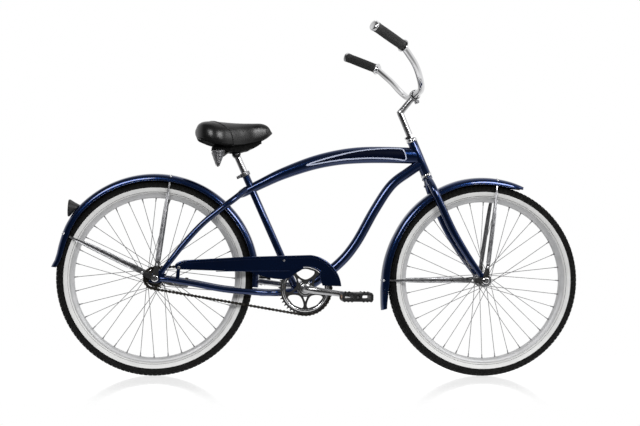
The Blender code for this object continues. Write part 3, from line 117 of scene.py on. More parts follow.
SPOKE_HEAD_OUT = 0.0018
NIPPLE_SIDE = 0.003
AXLE_RADIUS = 0.0047
AXLE_HOLE = 0.0053
AXLE_THREADS = 17
THREAD_PITCH = 0.0010
THREAD_DEPTH = 0.0004
DROPOUT_SIDES = (0.055, 0.060)
FORK_END_SIDES = (0.048, 0.053)
LUG_SHEET = 0.0027
LUG_REACH = 0.047
CONE_BORE = 0.0129
CLAMP_RADIUS = 0.0145
CHAIN_PITCH = 0.0127
CHAIN_LINKS = 112
RING_TEETH = 44
COG_TEETH = 18
CHAIN_Y = -0.041
CRANK_ANGLE = radians(-7.4)
SPRING_PLACE = (0.209, 0.058)
SPRING_TOP = 0.7705
SPRING_BOTTOM = 0.7205
SPRING_WIRE = 0.0024
SPRING_CURLS = 10
SPRING_STEPS = 28
SPRING_NARROW = 0.0050
SPRING_WIDE = 0.0215
RAIL_RADIUS = 0.0031
GAP = 0.0003


def at(x, y, z):
    """A point given by its distance ahead of the rear axle, its side and its height."""
    return Vector((x - ORIGIN_AHEAD, y, z))


def flat(angle, length=1.0):
    """A vector in the side view, at an angle above straight ahead."""
    return Vector((cos(angle) * length, 0, sin(angle) * length))


def on_head(distance):
    """A point on the steering axis, above the bottom of the head tube."""
    return HEAD_BOTTOM + HEAD_UP * distance


def on_seat(height):
    """The point of the seat tube's axis at a height above the ground."""
    return at(SEAT_TOP[0] - SEAT_SLOPE * (height - SEAT_TOP[1]), 0, height)


def at_pedal(sign):
    """The centre of a crank eye, in the bicycle's middle plane."""
    place = joint_place("pedal_right_spin" if sign == RIGHT else "pedal_left_spin")
    return Vector((place.x, 0, place.z))


# Camera, light and floor.

CAMERA_PLACE = (0.14934, -4.47399, 0.50066)
CAMERA_YAW, CAMERA_PITCH, CAMERA_ROLL = radians(-5.2709), radians(0.7684), radians(-0.6101)
FOCAL_LENGTH_PIXELS = 1300.92
IMAGE_WIDTH_PIXELS = 640
SENSOR_WIDTH = 36.0


def camera():
    """The photograph's own camera, fitted to both wheels."""
    lens = bpy.data.cameras.new("camera")
    lens.sensor_width = SENSOR_WIDTH
    lens.lens = FOCAL_LENGTH_PIXELS * SENSOR_WIDTH / IMAGE_WIDTH_PIXELS
    made = bpy.data.objects.new("camera", lens)
    turn = Matrix.Rotation(CAMERA_YAW, 4, "Z") @ Matrix.Rotation(CAMERA_PITCH, 4, "X")
    turn = turn @ Matrix.Rotation(CAMERA_ROLL, 4, "Y") @ Matrix.Rotation(pi / 2, 4, "X")
    made.matrix_world = Matrix.Translation(at(*CAMERA_PLACE)) @ turn
    bpy.context.scene.collection.objects.link(made)
    bpy.context.scene.camera = made


def softbox(name, place, aim, size, power):
    """A rectangular area light that looks at a point."""
    light = bpy.data.lights.new(name, "AREA")
    light.shape = "RECTANGLE"
    light.size, light.size_y = size
    light.energy = power
    made = bpy.data.objects.new(name, light)
    made.location = place
    made.rotation_euler = (Vector(aim) - Vector(place)).to_track_quat("-Z", "Y").to_euler()
    bpy.context.scene.collection.objects.link(made)


def level_ramp(nodes, links, way, levels):
    """A brightness by direction: the levels run from the far side of a direction to it."""
    toward = nodes.new("ShaderNodeVectorMath")
    toward.operation = "DOT_PRODUCT"
    toward.inputs[1].default_value = way
    links.new(nodes.new("ShaderNodeTexCoord").outputs["Generated"], toward.inputs[0])
    half = nodes.new("ShaderNodeMath")
    half.operation = "MULTIPLY_ADD"
    half.inputs[1].default_value = 0.5
    half.inputs[2].default_value = 0.5
    links.new(toward.outputs["Value"], half.inputs[0])
    ramp = nodes.new("ShaderNodeValToRGB")
    ramp.color_ramp.elements[0].position, ramp.color_ramp.elements[1].position = 0.0, 1.0
    for _ in levels[2:]:
        ramp.color_ramp.elements.new(0.5)
    for element, (place, grey) in zip(ramp.color_ramp.elements, levels):
        element.position = place
        element.color = (grey, grey, grey, 1)
    links.new(half.outputs["Value"], ramp.inputs["Fac"])
    return ramp.outputs["Color"]


def room_light(world):
    """A white sweep for the camera; reflections see a room bright to the right, above and behind."""
    nodes, links = world.node_tree.nodes, world.node_tree.links
    level = level_ramp(nodes, links, BRIGHT_WAY, ROOM_LEVELS)
    for way, levels in ((UP, CEILING_LEVELS), (FLOOR_WAY, FLOOR_LEVELS), (BACK_WAY, BACK_LEVELS),
                        (LEFT_WAY, LEFT_LEVELS)):
        brighter = nodes.new("ShaderNodeMath")
        brighter.operation = "MAXIMUM"
        links.new(level, brighter.inputs[0])
        links.new(level_ramp(nodes, links, way, levels), brighter.inputs[1])
        level = brighter.outputs["Value"]
    background = nodes["Background"]
    background.inputs["Strength"].default_value = ROOM_STRENGTH
    links.new(level, background.inputs["Color"])
    sweep_white = nodes.new("ShaderNodeBackground")
    sweep_white.inputs["Color"].default_value = (1, 1, 1, 1)
    chooser = nodes.new("ShaderNodeMixShader")
    links.new(nodes.new("ShaderNodeLightPath").outputs["Is Camera Ray"], chooser.inputs["Fac"])
    links.new(background.outputs["Background"], chooser.inputs[1])
    links.new(sweep_white.outputs["Background"], chooser.inputs[2])
    links.new(chooser.outputs["Shader"], nodes["World Output"].inputs["Surface"])


# The room's bright parts: directions, each with its levels as rows of (place, grey), where a place
# of 0 faces away from the direction and 1 along it.
BRIGHT_WAY = (0.75, 0.64, 0.15)
ROOM_LEVELS = ((0.0, 0.03), (0.42, 0.05), (0.56, 0.18), (0.70, 0.55), (0.86, 1.0))
CEILING_LEVELS = ((0.0, 0.0), (0.66, 0.0), (0.80, 0.12), (0.92, 0.16), (1.0, 0.16))
FLOOR_WAY = (0.35, 0.0, -0.94)
FLOOR_LEVELS = ((0.0, 0.0), (0.58, 0.0), (0.67, 0.14), (0.80, 0.28), (1.0, 0.42))
ROOM_STRENGTH = 0.85
BACK_WAY = (-0.08, 0.80, 0.60)
BACK_LEVELS = ((0.0, 0.0), (0.86, 0.0), (0.93, 0.60), (0.965, 1.0), (1.0, 1.0))
LEFT_WAY = (-0.86, 0.48, 0.17)
LEFT_LEVELS = ((0.0, 0.0), (0.80, 0.0), (0.90, 0.45), (0.97, 0.85), (1.0, 0.90))
FLOOR_IOR = 1.16
FLOOR_GLOW = 0.72
FLOOR_STRETCH = (0.32, 1.0, 1.0)
FLOOR_FADE = (0.26, 0.84)
FLOOR_REACH = 3.0
FLOOR_NEAR_EDGE = -1.5
# Rows of (name, place, the point that it looks at, size, watts).
LIGHTS = (
    ("key_light", (1.7, -3.1, 2.1), (0.3, 0, 0.5), (1.3, 0.8), 46),
    ("left_light", (-1.45, -3.1, 2.2), (-0.3, 0, 0.5), (1.5, 0.8), 40),
    ("side_light", (2.7, -1.2, 1.9), (0, 0, 0.8), (0.9, 0.8), 9),
    ("top_light", (0.3, 0.3, 3.2), (0, 0, 0.4), (2.8, 2.2), 9),
)


def floor_paper():
    """A glossy white floor near the bicycle, which fades into the white sweep around it."""
    made = finish("floor_paper", (0.25, 0.25, 0.25), 0.09)
    gloss(made, 1.5, 0.07, 0.11)
    nodes, links = made.node_tree.nodes, made.node_tree.links
    shader = nodes["Principled BSDF"]
    shader.inputs["IOR"].default_value = FLOOR_IOR
    shader.inputs["Emission Color"].default_value = (1, 1, 1, 1)
    shader.inputs["Emission Strength"].default_value = FLOOR_GLOW
    stretch = nodes.new("ShaderNodeVectorMath")
    stretch.operation = "MULTIPLY"
    stretch.inputs[1].default_value = FLOOR_STRETCH
    links.new(nodes.new("ShaderNodeTexCoord").outputs["Object"], stretch.inputs[0])
    reach = nodes.new("ShaderNodeVectorMath")
    reach.operation = "LENGTH"
    links.new(stretch.outputs["Vector"], reach.inputs[0])
    fade = nodes.new("ShaderNodeMapRange")
    fade.interpolation_type = "SMOOTHSTEP"
    fade.inputs["From Min"].default_value, fade.inputs["From Max"].default_value = FLOOR_FADE
    fade.inputs["To Min"].default_value = 1.0
    fade.inputs["To Max"].default_value = 0.0
    links.new(reach.outputs["Value"], fade.inputs["Value"])
    links.new(fade.outputs["Result"], shader.inputs["Alpha"])
    return made


def studio():
    """A white sweep behind, a dark room in front, a pale floor and soft lights."""
    world = bpy.data.worlds.new("studio_room")
    world.use_nodes = True
    room_light(world)
    bpy.context.scene.world = world
    bpy.context.scene.view_settings.view_transform = "Standard"

    corners = [(-FLOOR_REACH, FLOOR_NEAR_EDGE, 0), (FLOOR_REACH, FLOOR_NEAR_EDGE, 0),
               (FLOOR_REACH, FLOOR_REACH, 0), (-FLOOR_REACH, FLOOR_REACH, 0)]
    mesh = bpy.data.meshes.new("floor")
    mesh.from_pydata(corners, [], [(0, 1, 2, 3)])
    floor = bpy.data.objects.new("floor", mesh)
    mesh.materials.append(floor_paper())
    bpy.context.scene.collection.objects.link(floor)
    for light in LIGHTS:
        softbox(*light)


# Materials.


NOISE = "ShaderNodeTexNoise"
CELLS = "ShaderNodeTexVoronoi"
TEXTURE_OUTPUT = {NOISE: "Fac", CELLS: "Distance"}
TEXTURE_DETAIL = 3.0
TEXTURE_RANGE = (0.3, 0.7)
COAT_ROUGHNESS = 0.03


def finish(name, colour, roughness, metallic=0.0, coat=0.0, specular=0.5):
    """A Principled material to which the functions below add its texture."""
    made = bpy.data.materials.new(name)
    made.use_nodes = True
    shader = made.node_tree.nodes["Principled BSDF"]
    shader.inputs["Base Color"].default_value = (*colour, 1)
    shader.inputs["Roughness"].default_value = roughness
    shader.inputs["Metallic"].default_value = metallic
    shader.inputs["Coat Weight"].default_value = coat
    shader.inputs["Coat Roughness"].default_value = COAT_ROUGHNESS
    shader.inputs["Specular IOR Level"].default_value = specular
    return made


def textured(made, kind, scale, changer, entry, stretch=(1, 1, 1)):
    """A node that takes a texture on the piece's own coordinates in at its entry."""
    nodes, links = made.node_tree.nodes, made.node_tree.links
    mapping = nodes.new("ShaderNodeMapping")
    mapping.inputs["Scale"].default_value = stretch
    links.new(nodes.new("ShaderNodeTexCoord").outputs["Object"], mapping.inputs["Vector"])
    pattern = nodes.new(kind)
    pattern.inputs["Scale"].default_value = scale
    pattern.inputs["Detail"].default_value = TEXTURE_DETAIL
    links.new(mapping.outputs["Vector"], pattern.inputs["Vector"])
    node = nodes.new(changer)
    links.new(pattern.outputs[TEXTURE_OUTPUT[kind]], node.inputs[entry])
    return node


def drive(made, output, entry):
    """Joins a node's output to an input of the material's shader."""
    made.node_tree.links.new(output, made.node_tree.nodes["Principled BSDF"].inputs[entry])


def tint(made, scale, low, high, kind=NOISE, start=0.35, end=0.65):
    """Base colour between two colours, by a texture."""
    ramp = textured(made, kind, scale, "ShaderNodeValToRGB", "Fac")
    for element, place, colour in zip(ramp.color_ramp.elements, (start, end), (low, high)):
        element.position = place
        element.color = (*colour, 1)
    drive(made, ramp.outputs["Color"], "Base Color")


def gloss(made, scale, low, high, stretch=(1, 1, 1)):
    """Roughness between two values, by a texture."""
    node = textured(made, NOISE, scale, "ShaderNodeMapRange", "Value", stretch)
    node.inputs["From Min"].default_value, node.inputs["From Max"].default_value = TEXTURE_RANGE
    node.inputs["To Min"].default_value = low
    node.inputs["To Max"].default_value = high
    drive(made, node.outputs["Result"], "Roughness")


def relief(made, scale, depth, strength, kind=NOISE):
    """Fine bumps of a depth in metres, by a texture."""
    node = textured(made, kind, scale, "ShaderNodeBump", "Height")
    node.inputs["Strength"].default_value = strength
    node.inputs["Distance"].default_value = depth
    drive(made, node.outputs["Normal"], "Normal")


def navy_paint():
    """Dark blue enamel with fine metal flakes under a clear coat."""
    made = finish("navy_enamel", (0.0028, 0.0205, 0.094), 0.20, 0.85, 1.0)
    tint(made, 9, (0.0024, 0.0180, 0.083), (0.0032, 0.0230, 0.105))
    gloss(made, 700, 0.17, 0.23)
    relief(made, 420, 0.00001, 0.10)
    return made


def dark_paint():
    made = finish("dark_navy_enamel", (0.0010, 0.0030, 0.0150), 0.40, specular=0.05)
    tint(made, 45, (0.0009, 0.0027, 0.0135), (0.0011, 0.0033, 0.0165))
    gloss(made, 8, 0.36, 0.44)
    return made


def stripe_paint():
    made = finish("pale_stripe", (0.60, 0.66, 0.86), 0.4, 0.0, 0.2)
    tint(made, 60, (0.57, 0.63, 0.83), (0.63, 0.69, 0.89))
    return made


def chrome():
    made = finish("bright_chrome", (0.80, 0.80, 0.81), 0.07, 1.0)
    gloss(made, 14, 0.045, 0.10)
    relief(made, 240, 0.00001, 0.08)
    return made


def satin_chrome():
    made = finish("satin_chrome", (0.50, 0.50, 0.51), 0.22, 1.0)
    tint(made, 70, (0.45, 0.45, 0.46), (0.55, 0.55, 0.56))
    gloss(made, 30, 0.18, 0.26)
    relief(made, 900, 0.00001, 0.04)
    return made


def plated_steel():
    made = finish("plated_steel", (0.27, 0.27, 0.28), 0.33, 1.0)
    tint(made, 120, (0.22, 0.22, 0.23), (0.33, 0.33, 0.34))
    gloss(made, 60, 0.26, 0.42)
    relief(made, 900, 0.00003, 0.15)
    return made


def oiled_steel():
    made = finish("oiled_steel", (0.05, 0.045, 0.04), 0.34, 1.0)
    tint(made, 90, (0.03, 0.027, 0.024), (0.10, 0.092, 0.08))
    gloss(made, 150, 0.25, 0.5)
    return made


def rim_metal():
    made = finish("satin_rim", (0.64, 0.64, 0.65), 0.45, 0.35)
    tint(made, 25, (0.60, 0.605, 0.61), (0.68, 0.68, 0.69))
    gloss(made, 160, 0.38, 0.52, (1, 4, 1))
    relief(made, 1200, 0.00002, 0.3)
    return made


def spoke_metal():
    made = finish("spoke_steel", (0.24, 0.24, 0.245), 0.45, 0.35)
    tint(made, 150, (0.21, 0.21, 0.215), (0.27, 0.27, 0.275))
    gloss(made, 200, 0.36, 0.48)
    return made


def tyre_rubber():
    made = finish("tyre_rubber", (0.004, 0.004, 0.004), 0.72, specular=0.2)
    tint(made, 45, (0.0030, 0.0030, 0.0030), (0.0060, 0.0059, 0.0057))
    gloss(made, 70, 0.60, 0.85)
    relief(made, 1500, 0.00008, 0.5)
    return made


def whitewall_rubber():
    made = finish("whitewall_rubber", (0.88, 0.88, 0.87), 0.5)
    tint(made, 22, (0.84, 0.84, 0.83), (0.92, 0.92, 0.91))
    relief(made, 900, 0.00005, 0.4)
    return made


def grip_rubber():
    made = finish("grip_rubber", (0.02, 0.02, 0.02), 0.5)
    tint(made, 200, (0.014, 0.014, 0.014), (0.03, 0.03, 0.03))
    relief(made, 2200, 0.00006, 0.6)
    return made


def moulded_plastic():
    made = finish("moulded_plastic", (0.012, 0.012, 0.013), 0.42)
    tint(made, 150, (0.009, 0.009, 0.010), (0.018, 0.018, 0.019))
    gloss(made, 320, 0.34, 0.52)
    relief(made, 1600, 0.00006, 0.5, CELLS)
    return made


def black_enamel():
    made = finish("black_enamel", (0.010, 0.010, 0.011), 0.32, 0.0, 0.5)
    gloss(made, 80, 0.26, 0.42)
    relief(made, 500, 0.00004, 0.3)
    return made


def vinyl():
    made = finish("black_vinyl", (0.007, 0.007, 0.0073), 0.25)
    tint(made, 35, (0.0055, 0.0055, 0.0058), (0.0090, 0.0090, 0.0093))
    gloss(made, 50, 0.23, 0.31)
    relief(made, 900, 0.00005, 0.12, CELLS)
    return made


def matt_black():
    made = finish("matt_underside", (0.008, 0.008, 0.008), 0.85, specular=0.08)
    tint(made, 130, (0.005, 0.005, 0.005), (0.013, 0.013, 0.013))
    relief(made, 1400, 0.00010, 0.5)
    return made


def thread():
    made = finish("seam_thread", (0.03, 0.03, 0.03), 0.7)
    relief(made, 3000, 0.0001, 0.6)
    return made


def red_plastic():
    made = finish("red_lens", (0.42, 0.010, 0.008), 0.12, 0.0, 0.8)
    tint(made, 320, (0.30, 0.006, 0.005), (0.55, 0.02, 0.015), CELLS, 0.1, 0.7)
    return made


def amber_plastic():
    made = finish("amber_lens", (0.62, 0.20, 0.01), 0.12, 0.0, 0.8)
    tint(made, 320, (0.50, 0.14, 0.008), (0.75, 0.28, 0.03), CELLS, 0.1, 0.7)
    return made


# Shapes.


def behind(axis):
    """The direction square to an axis of the middle plane, to its rear."""
    return Vector((-axis.z, 0, axis.x))


def square_to(axis):
    """Two directions square to an axis and to each other, the first nearest straight up."""
    axis = Vector(axis).normalized()
    first = UP - axis * axis.dot(UP)
    if first.length < 1e-4:
        first = axis.orthogonal()
    first.normalize()
    return first, axis.cross(first)


def skin(shape, rings, closed=False):
    """Quads between rings of vertices; closed joins the last ring to the first one too."""
    for one, two in zip(rings, rings[1:] + rings[:1] if closed else rings[1:]):
        for k in range(len(one)):
            j = (k + 1) % len(one)
            shape.faces.new((one[k], one[j], two[j], two[k]))


def loft(rows, closed=False):
    """A skin over rows of points, closed on itself or with a cap at each end."""
    shape = bmesh.new()
    rings = [[shape.verts.new(point) for point in row] for row in rows]
    skin(shape, rings, closed)
    if not closed:
        shape.faces.new(rings[0][::-1])
        shape.faces.new(rings[-1])
    return shape


def sheet_of(rows):
    """A thin sheet over rows of points, each row out along one face and back along the other."""
    shape = bmesh.new()
    rings = [[shape.verts.new(point) for point in row] for row in rows]
    skin(shape, rings)
    for one in (rings[0], rings[-1]):
        for k in range(len(one) // 2 - 1):
            shape.faces.new((one[k], one[k + 1], one[-k - 2], one[-k - 1]))
    return shape


def circle(sides):
    return [(cos(2 * pi * (n + 0.5) / sides), sin(2 * pi * (n + 0.5) / sides)) for n in range(sides)]


def sweep(path, sides=24, hint=ACROSS, closed=False):
    """A bar along rows of (centre, half width along the hint, half height)."""
    side = Vector(hint)
    section = circle(sides)
    rows = []
    last = len(path) - 1
    for k, (centre, wide, high) in enumerate(path):
        before = path[k - 1 if k or closed else 0][0]
        after = path[(k + 1) % len(path) if k < last or closed else last][0]
        ahead = (after - before).normalized()
        side = (side - ahead * side.dot(ahead)).normalized()
        up = ahead.cross(side)
        rows.append([centre + side * wide * u + up * high * v for u, v in section])
    return loft(rows, closed)


def wire(points, radius, sides, hint=ACROSS):
    """A round bar through points."""
    return sweep([(point, radius, radius) for point in points], sides, hint)


def smooth(rows, steps):
    """Rows of numbers on a smooth curve through the given rows."""
    made = []
    for k in range(len(rows) - 1):
        near = (rows[max(k - 1, 0)], rows[k], rows[k + 1], rows[min(k + 2, len(rows) - 1)])
        for n in range(steps):
            t = n / steps
            made.append([
                (2 * b + (c - a) * t + (2 * a - 5 * b + 4 * c - d) * t ** 2
                 + (3 * b - a - 3 * c + d) * t ** 3) / 2
                for a, b, c, d in zip(*near)
            ])
    return made + [list(rows[-1])]


def row_at(rows, place):
    """A row at a place among rows that are sorted by their first number."""
    for one, two in zip(rows, rows[1:]):
        if place <= two[0]:
            t = (place - one[0]) / (two[0] - one[0])
            return [a + (b - a) * t for a, b in zip(one, two)]
    return rows[-1]


def tube(rows, steps, sides, sign=1):
    """A smooth tube on a side, through rows of (ahead, side, height, half width, half height)."""
    return sweep([(at(x, sign * y, z), wide, high) for x, y, z, wide, high in smooth(rows, steps)], sides)


def rounded(points, radius, steps=3, closed=True):
    """A 2D outline whose corners are rounded by short curves."""
    made = []
    count = len(points)
    for k, point in enumerate(points):
        if not closed and k in (0, count - 1):
            made.append(tuple(point))
            continue
        corner = Vector(point)
        before, after = Vector(points[k - 1]), Vector(points[(k + 1) % count])
        cut = min(radius, 0.45 * (before - corner).length, 0.45 * (after - corner).length)
        start = corner + (before - corner).normalized() * cut
        end = corner + (after - corner).normalized() * cut
        for n in range(steps + 1):
            t = n / steps
            made.append(tuple(start * (1 - t) ** 2 + corner * 2 * t * (1 - t) + end * t ** 2))
    return made


def turned(profile, base, axis, steps=48, closed=True):
    """A shape turned about an axis, from points of (distance along it, radius)."""
    first, second = square_to(axis)
    axis = Vector(axis).normalized()
    turns = [2 * pi * (n + 0.5) / steps for n in range(steps)]
    return loft([[base + axis * along + (first * cos(a) + second * sin(a)) * radius for a in turns]
                 for along, radius in profile], closed)


def rod(base, axis, radius, length, steps=32, edge=0.0):
    """A round bar from a point along an axis, with its ends' edges eased."""
    if edge:
        profile = [(0, radius - edge), (edge * 0.3, radius - edge * 0.3), (edge, radius),
                   (length - edge, radius), (length - edge * 0.3, radius - edge * 0.3),
                   (length, radius - edge)]
    else:
        profile = [(0, radius), (length, radius)]
    return turned(profile, base, axis, steps, closed=False)


def crossbar(centre, radius, half_width, steps, edge=0.0):
    """A round bar from side to side, about a point."""
    return rod(centre - ACROSS * half_width, ACROSS, radius, 2 * half_width, steps, edge)


def ring(base, axis, inner, outer, length, steps=40, edge=0.0004):
    """A ring from a point along an axis, with eased edges."""
    profile = rounded([(0, inner), (0, outer), (length, outer), (length, inner)], edge, 2)
    return turned(profile, base, axis, steps)


def ease(shape, width, steps=2, angle=radians(30)):
    """Bevels the sharp edges of a shape."""
    bmesh.ops.recalc_face_normals(shape, faces=shape.faces)
    sharp = [e for e in shape.edges if len(e.link_faces) == 2 and e.calc_face_angle() > angle]
    bmesh.ops.bevel(shape, geom=sharp, offset=width, segments=steps, profile=0.5,
                    affect="EDGES", clamp_overlap=True)
    return shape


def plate(outline, low, high, holes=(), edge=0.0):
    """A flat plate in the side view, between two sides, with holes through it."""
    loops = [[at(x, 0, z) for x, z in loop] for loop in (outline, *holes)]
    points = [point for loop in loops for point in loop]
    faces = tessellate_polygon(loops) if holes else [range(len(points))]
    shape = bmesh.new()
    near = [shape.verts.new(point + ACROSS * low) for point in points]
    far = [shape.verts.new(point + ACROSS * high) for point in points]
    for face in faces:
        shape.faces.new([near[k] for k in face])
        shape.faces.new([far[k] for k in reversed(face)])
    start = 0
    for loop in loops:
        for k in range(len(loop)):
            a, b = start + k, start + (k + 1) % len(loop)
            shape.faces.new((near[a], near[b], far[b], far[a]))
        start += len(loop)
    return ease(shape, edge) if edge else shape


def block(centre, size, edge=0.0):
    """A box by its centre and its three sizes."""
    shape = bmesh.new()
    bmesh.ops.create_cube(shape, size=1)
    bmesh.ops.scale(shape, vec=size, verts=shape.verts)
    bmesh.ops.translate(shape, vec=centre, verts=shape.verts)
    return ease(shape, edge) if edge else shape


def leaned_block(centre, size, axes, edge):
    """A block whose three sizes lie along three given directions."""
    shape = block(Vector(), size, edge)
    turn = Matrix.Translation(centre) @ Matrix(axes).transposed().to_4x4()
    bmesh.ops.transform(shape, matrix=turn, verts=shape.verts)
    return shape


def gather(shapes):
    """One bmesh that holds several shapes."""
    whole = bmesh.new()
    for shape in shapes:
        mesh = bpy.data.meshes.new("loose")
        bmesh.ops.recalc_face_normals(shape, faces=shape.faces)
        shape.to_mesh(mesh)
        shape.free()
        whole.from_mesh(mesh)
        bpy.data.meshes.remove(mesh)
    return whole


def loose_object(shape):
    bmesh.ops.recalc_face_normals(shape, faces=shape.faces)
    mesh = bpy.data.meshes.new("loose")
    shape.to_mesh(mesh)
    shape.free()
    made = bpy.data.objects.new("loose", mesh)
    bpy.context.scene.collection.objects.link(made)
    return made


def combine(base, tools, operation="UNION"):
    """One shape from a base and a list of tools, by exact Booleans."""
    target = loose_object(base)
    cutters = [loose_object(tool) for tool in tools]
    for cutter in cutters:
        change = target.modifiers.new("combine", "BOOLEAN")
        change.operation = operation
        change.solver = "EXACT"
        change.object = cutter
    result = target.evaluated_get(bpy.context.evaluated_depsgraph_get()).to_mesh()
    shape = bmesh.new()
    shape.from_mesh(result)
    for item in [target, *cutters]:
        bpy.data.objects.remove(item)
    return shape


def around(centre, start, stop, radius, count):
    """Points of an arc in the side view, about a point given as (ahead, height)."""
    turns = [start + (stop - start) * k / (count - 1) for k in range(count)]
    return [(centre[0] + radius * cos(a), centre[1] + radius * sin(a)) for a in turns]


def full_circle(centre, radius, count=24):
    return around(centre, 0, 2 * pi * (count - 1) / count, radius, count)


def span(sign, inner, outer):
    """The lower and the higher of two places on a side."""
    return sorted((sign * inner, sign * outer))


def piece(name, shape, material, body, replaces=(), sharp=radians(38)):
    """An object from a bmesh in the frame, which rides on a body and hides the parts that it replaces."""
    bmesh.ops.recalc_face_normals(shape, faces=shape.faces)
    mesh = bpy.data.meshes.new(name)
    shape.to_mesh(mesh)
    shape.free()
    for item in material if isinstance(material, list) else [material]:
        mesh.materials.append(item)
    mesh.shade_smooth()
    mesh.set_sharp_from_angle(angle=sharp)
    made = bpy.data.objects.new(name, mesh)
    bpy.context.scene.collection.objects.link(made)
    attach(made, body)
    if replaces:
        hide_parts(*replaces)
    return made


def hexagon_head(base, axis, across_flats, height, dome=0.0006):
    """A hexagonal bolt head or nut with eased corners."""
    radius = across_flats / 2 / cos(pi / 6)
    head = turned([(0, radius), (height, radius)], base, axis, 6, closed=False)
    cone = turned([(-0.01, radius * 1.5), (0, radius * 1.5), (height - dome, radius * 1.02),
                   (height + 0.0002, radius * 0.86)], base, axis, 48, closed=False)
    return combine(head, [cone], "INTERSECT")


def round_head(base, axis, radius, height):
    """A domed screw head with a dimple in its middle."""
    profile = [(0, radius), (height * 0.45, radius * 0.97), (height * 0.8, radius * 0.75),
               (height, radius * 0.42), (height * 0.99, radius * 0.30), (height * 0.55, radius * 0.22)]
    return turned(profile, base, axis, 24, closed=False)


# The frame. A tube's rows are (ahead, side, height, half width, half height).

TOP_TUBE = [
    (0.2760, 0, 0.6135, 0.0050, 0.0060),
    (0.2850, 0, 0.6195, 0.0105, 0.0115),
    (0.3000, 0, 0.6290, 0.0150, 0.0155),
    (0.3600, 0, 0.6600, 0.0155, 0.0175),
    (0.4315, 0, 0.6945, 0.0165, 0.0200),
    (0.5325, 0, 0.7320, 0.0175, 0.0235),
    (0.6200, 0, 0.7530, 0.0180, 0.0262),
    (0.6990, 0, 0.7625, 0.0180, 0.0283),
    (0.7900, 0, 0.7652, 0.0175, 0.0285),
    (0.9010, 0, 0.7636, 0.0160, 0.0280),
]
DOWN_TUBE = [
    (0.915, 0, 0.7370, 0.0170, 0.0174),
    (0.869, 0, 0.7065, 0.0172, 0.0175),
    (0.809, 0, 0.6590, 0.0172, 0.0175),
    (0.752, 0, 0.5730, 0.0172, 0.0175),
    (0.686, 0, 0.4550, 0.0172, 0.0175),
    (0.622, 0, 0.3800, 0.0172, 0.0175),
    (0.515, 0, 0.3010, 0.0172, 0.0175),
]
SEAT_STAY = [
    (0.3050, 0.0100, 0.6380, 0.0100, 0.0110),
    (0.2850, 0.0230, 0.6210, 0.0100, 0.0110),
    (0.2600, 0.0370, 0.6010, 0.0100, 0.0110),
    (0.2200, 0.0455, 0.5710, 0.0098, 0.0108),
    (0.1570, 0.0475, 0.5180, 0.0095, 0.0105),
    (0.0970, 0.0500, 0.4520, 0.0092, 0.0105),
    (0.0480, 0.0560, 0.3880, 0.0080, 0.0095),
    (0.0200, 0.0575, 0.3520, 0.0060, 0.0085),
]
CHAINSTAY = [
    (0.0180, 0.0575, 0.3320, 0.0060, 0.0085),
    (0.0450, 0.0570, 0.3295, 0.0080, 0.0092),
    (0.1290, 0.0520, 0.3160, 0.0098, 0.0103),
    (0.2320, 0.0470, 0.2975, 0.0100, 0.0105),
    (0.3260, 0.0440, 0.2890, 0.0100, 0.0105),
    (0.3700, 0.0370, 0.2860, 0.0095, 0.0105),
    (0.4100, 0.0250, 0.2860, 0.0095, 0.0105),
    (0.4900, 0.0190, 0.2920, 0.0095, 0.0105),
]


def rear_dropout(sign):
    """A slotted plate that holds the rear axle on a side."""
    h, slot = TYRE_RADIUS, AXLE_HOLE
    corners = [
        (-0.020, h - 0.013), (0.004, h - 0.016), (0.030, h - 0.010), (0.036, h + 0.002),
        (0.030, h + 0.020), (0.040, h + 0.036), (0.030, h + 0.040), (0.010, h + 0.024),
        (-0.006, h + 0.014), (-0.020, h + 0.012), (-0.020, h + slot), (0.003, h + slot),
        (0.0062, h), (0.003, h - slot), (-0.020, h - slot),
    ]
    return plate(rounded(corners, 0.005), *span(sign, *DROPOUT_SIDES), edge=0.0006)


def fender_rod(start, axle, radius):
    """A rod from a point towards an axle, which stops at the fender's crown."""
    reach = axle - start
    return rod(start, reach.normalized(), radius, reach.length - FENDER_CROWN - GAP, 20)


def frame_tubes(paint):
    """The welded frame: tubes, shell, stays, dropouts, bridge, kickstand plate and guard tab."""
    seat_low, seat_high = on_seat(0.296), on_seat(SEAT_TOP[1])
    seat_length = (seat_high - seat_low).length
    bridge = at(0.264, 0, 0.604)
    tab = [(0.0685, 0.322), (0.0815, 0.320), (0.0860, 0.372), (0.0800, 0.3785), (0.0740, 0.372)]
    shapes = [
        ring(on_head(0), HEAD_UP, HEAD_BORE, HEAD_RADIUS, HEAD_LENGTH, 48),
        tube(TOP_TUBE, 10, 40),
        tube(DOWN_TUBE, 10, 32),
        ring(seat_low, SEAT_UP, SEAT_BORE, SEAT_TUBE_RADIUS, seat_length),
        ring(BRACKET - ACROSS * SHELL_HALF_WIDTH, ACROSS, SHELL_BORE, SHELL_RADIUS,
             2 * SHELL_HALF_WIDTH, 56, 0.0008),
        crossbar(bridge, 0.006, 0.033, 24),
        fender_rod(bridge, REAR_AXLE, 0.0045),
        block(at(0.393, 0, 0.2765), (0.072, 0.064, 0.004), 0.0012),
        plate(rounded(tab, 0.004), GUARD_FACE_Y + SHEET + GAP, -0.0560, edge=0.0006),
    ]
    for _, sign in SIDES:
        for rows in (SEAT_STAY, CHAINSTAY):
            shapes.append(tube(rows, 6, 24, sign))
        shapes.append(rear_dropout(sign))
    piece("frame_tubes", gather(shapes), paint, "frame_body", ["main_frame"])


TOP_TUBE_LINE = smooth(TOP_TUBE, 12)
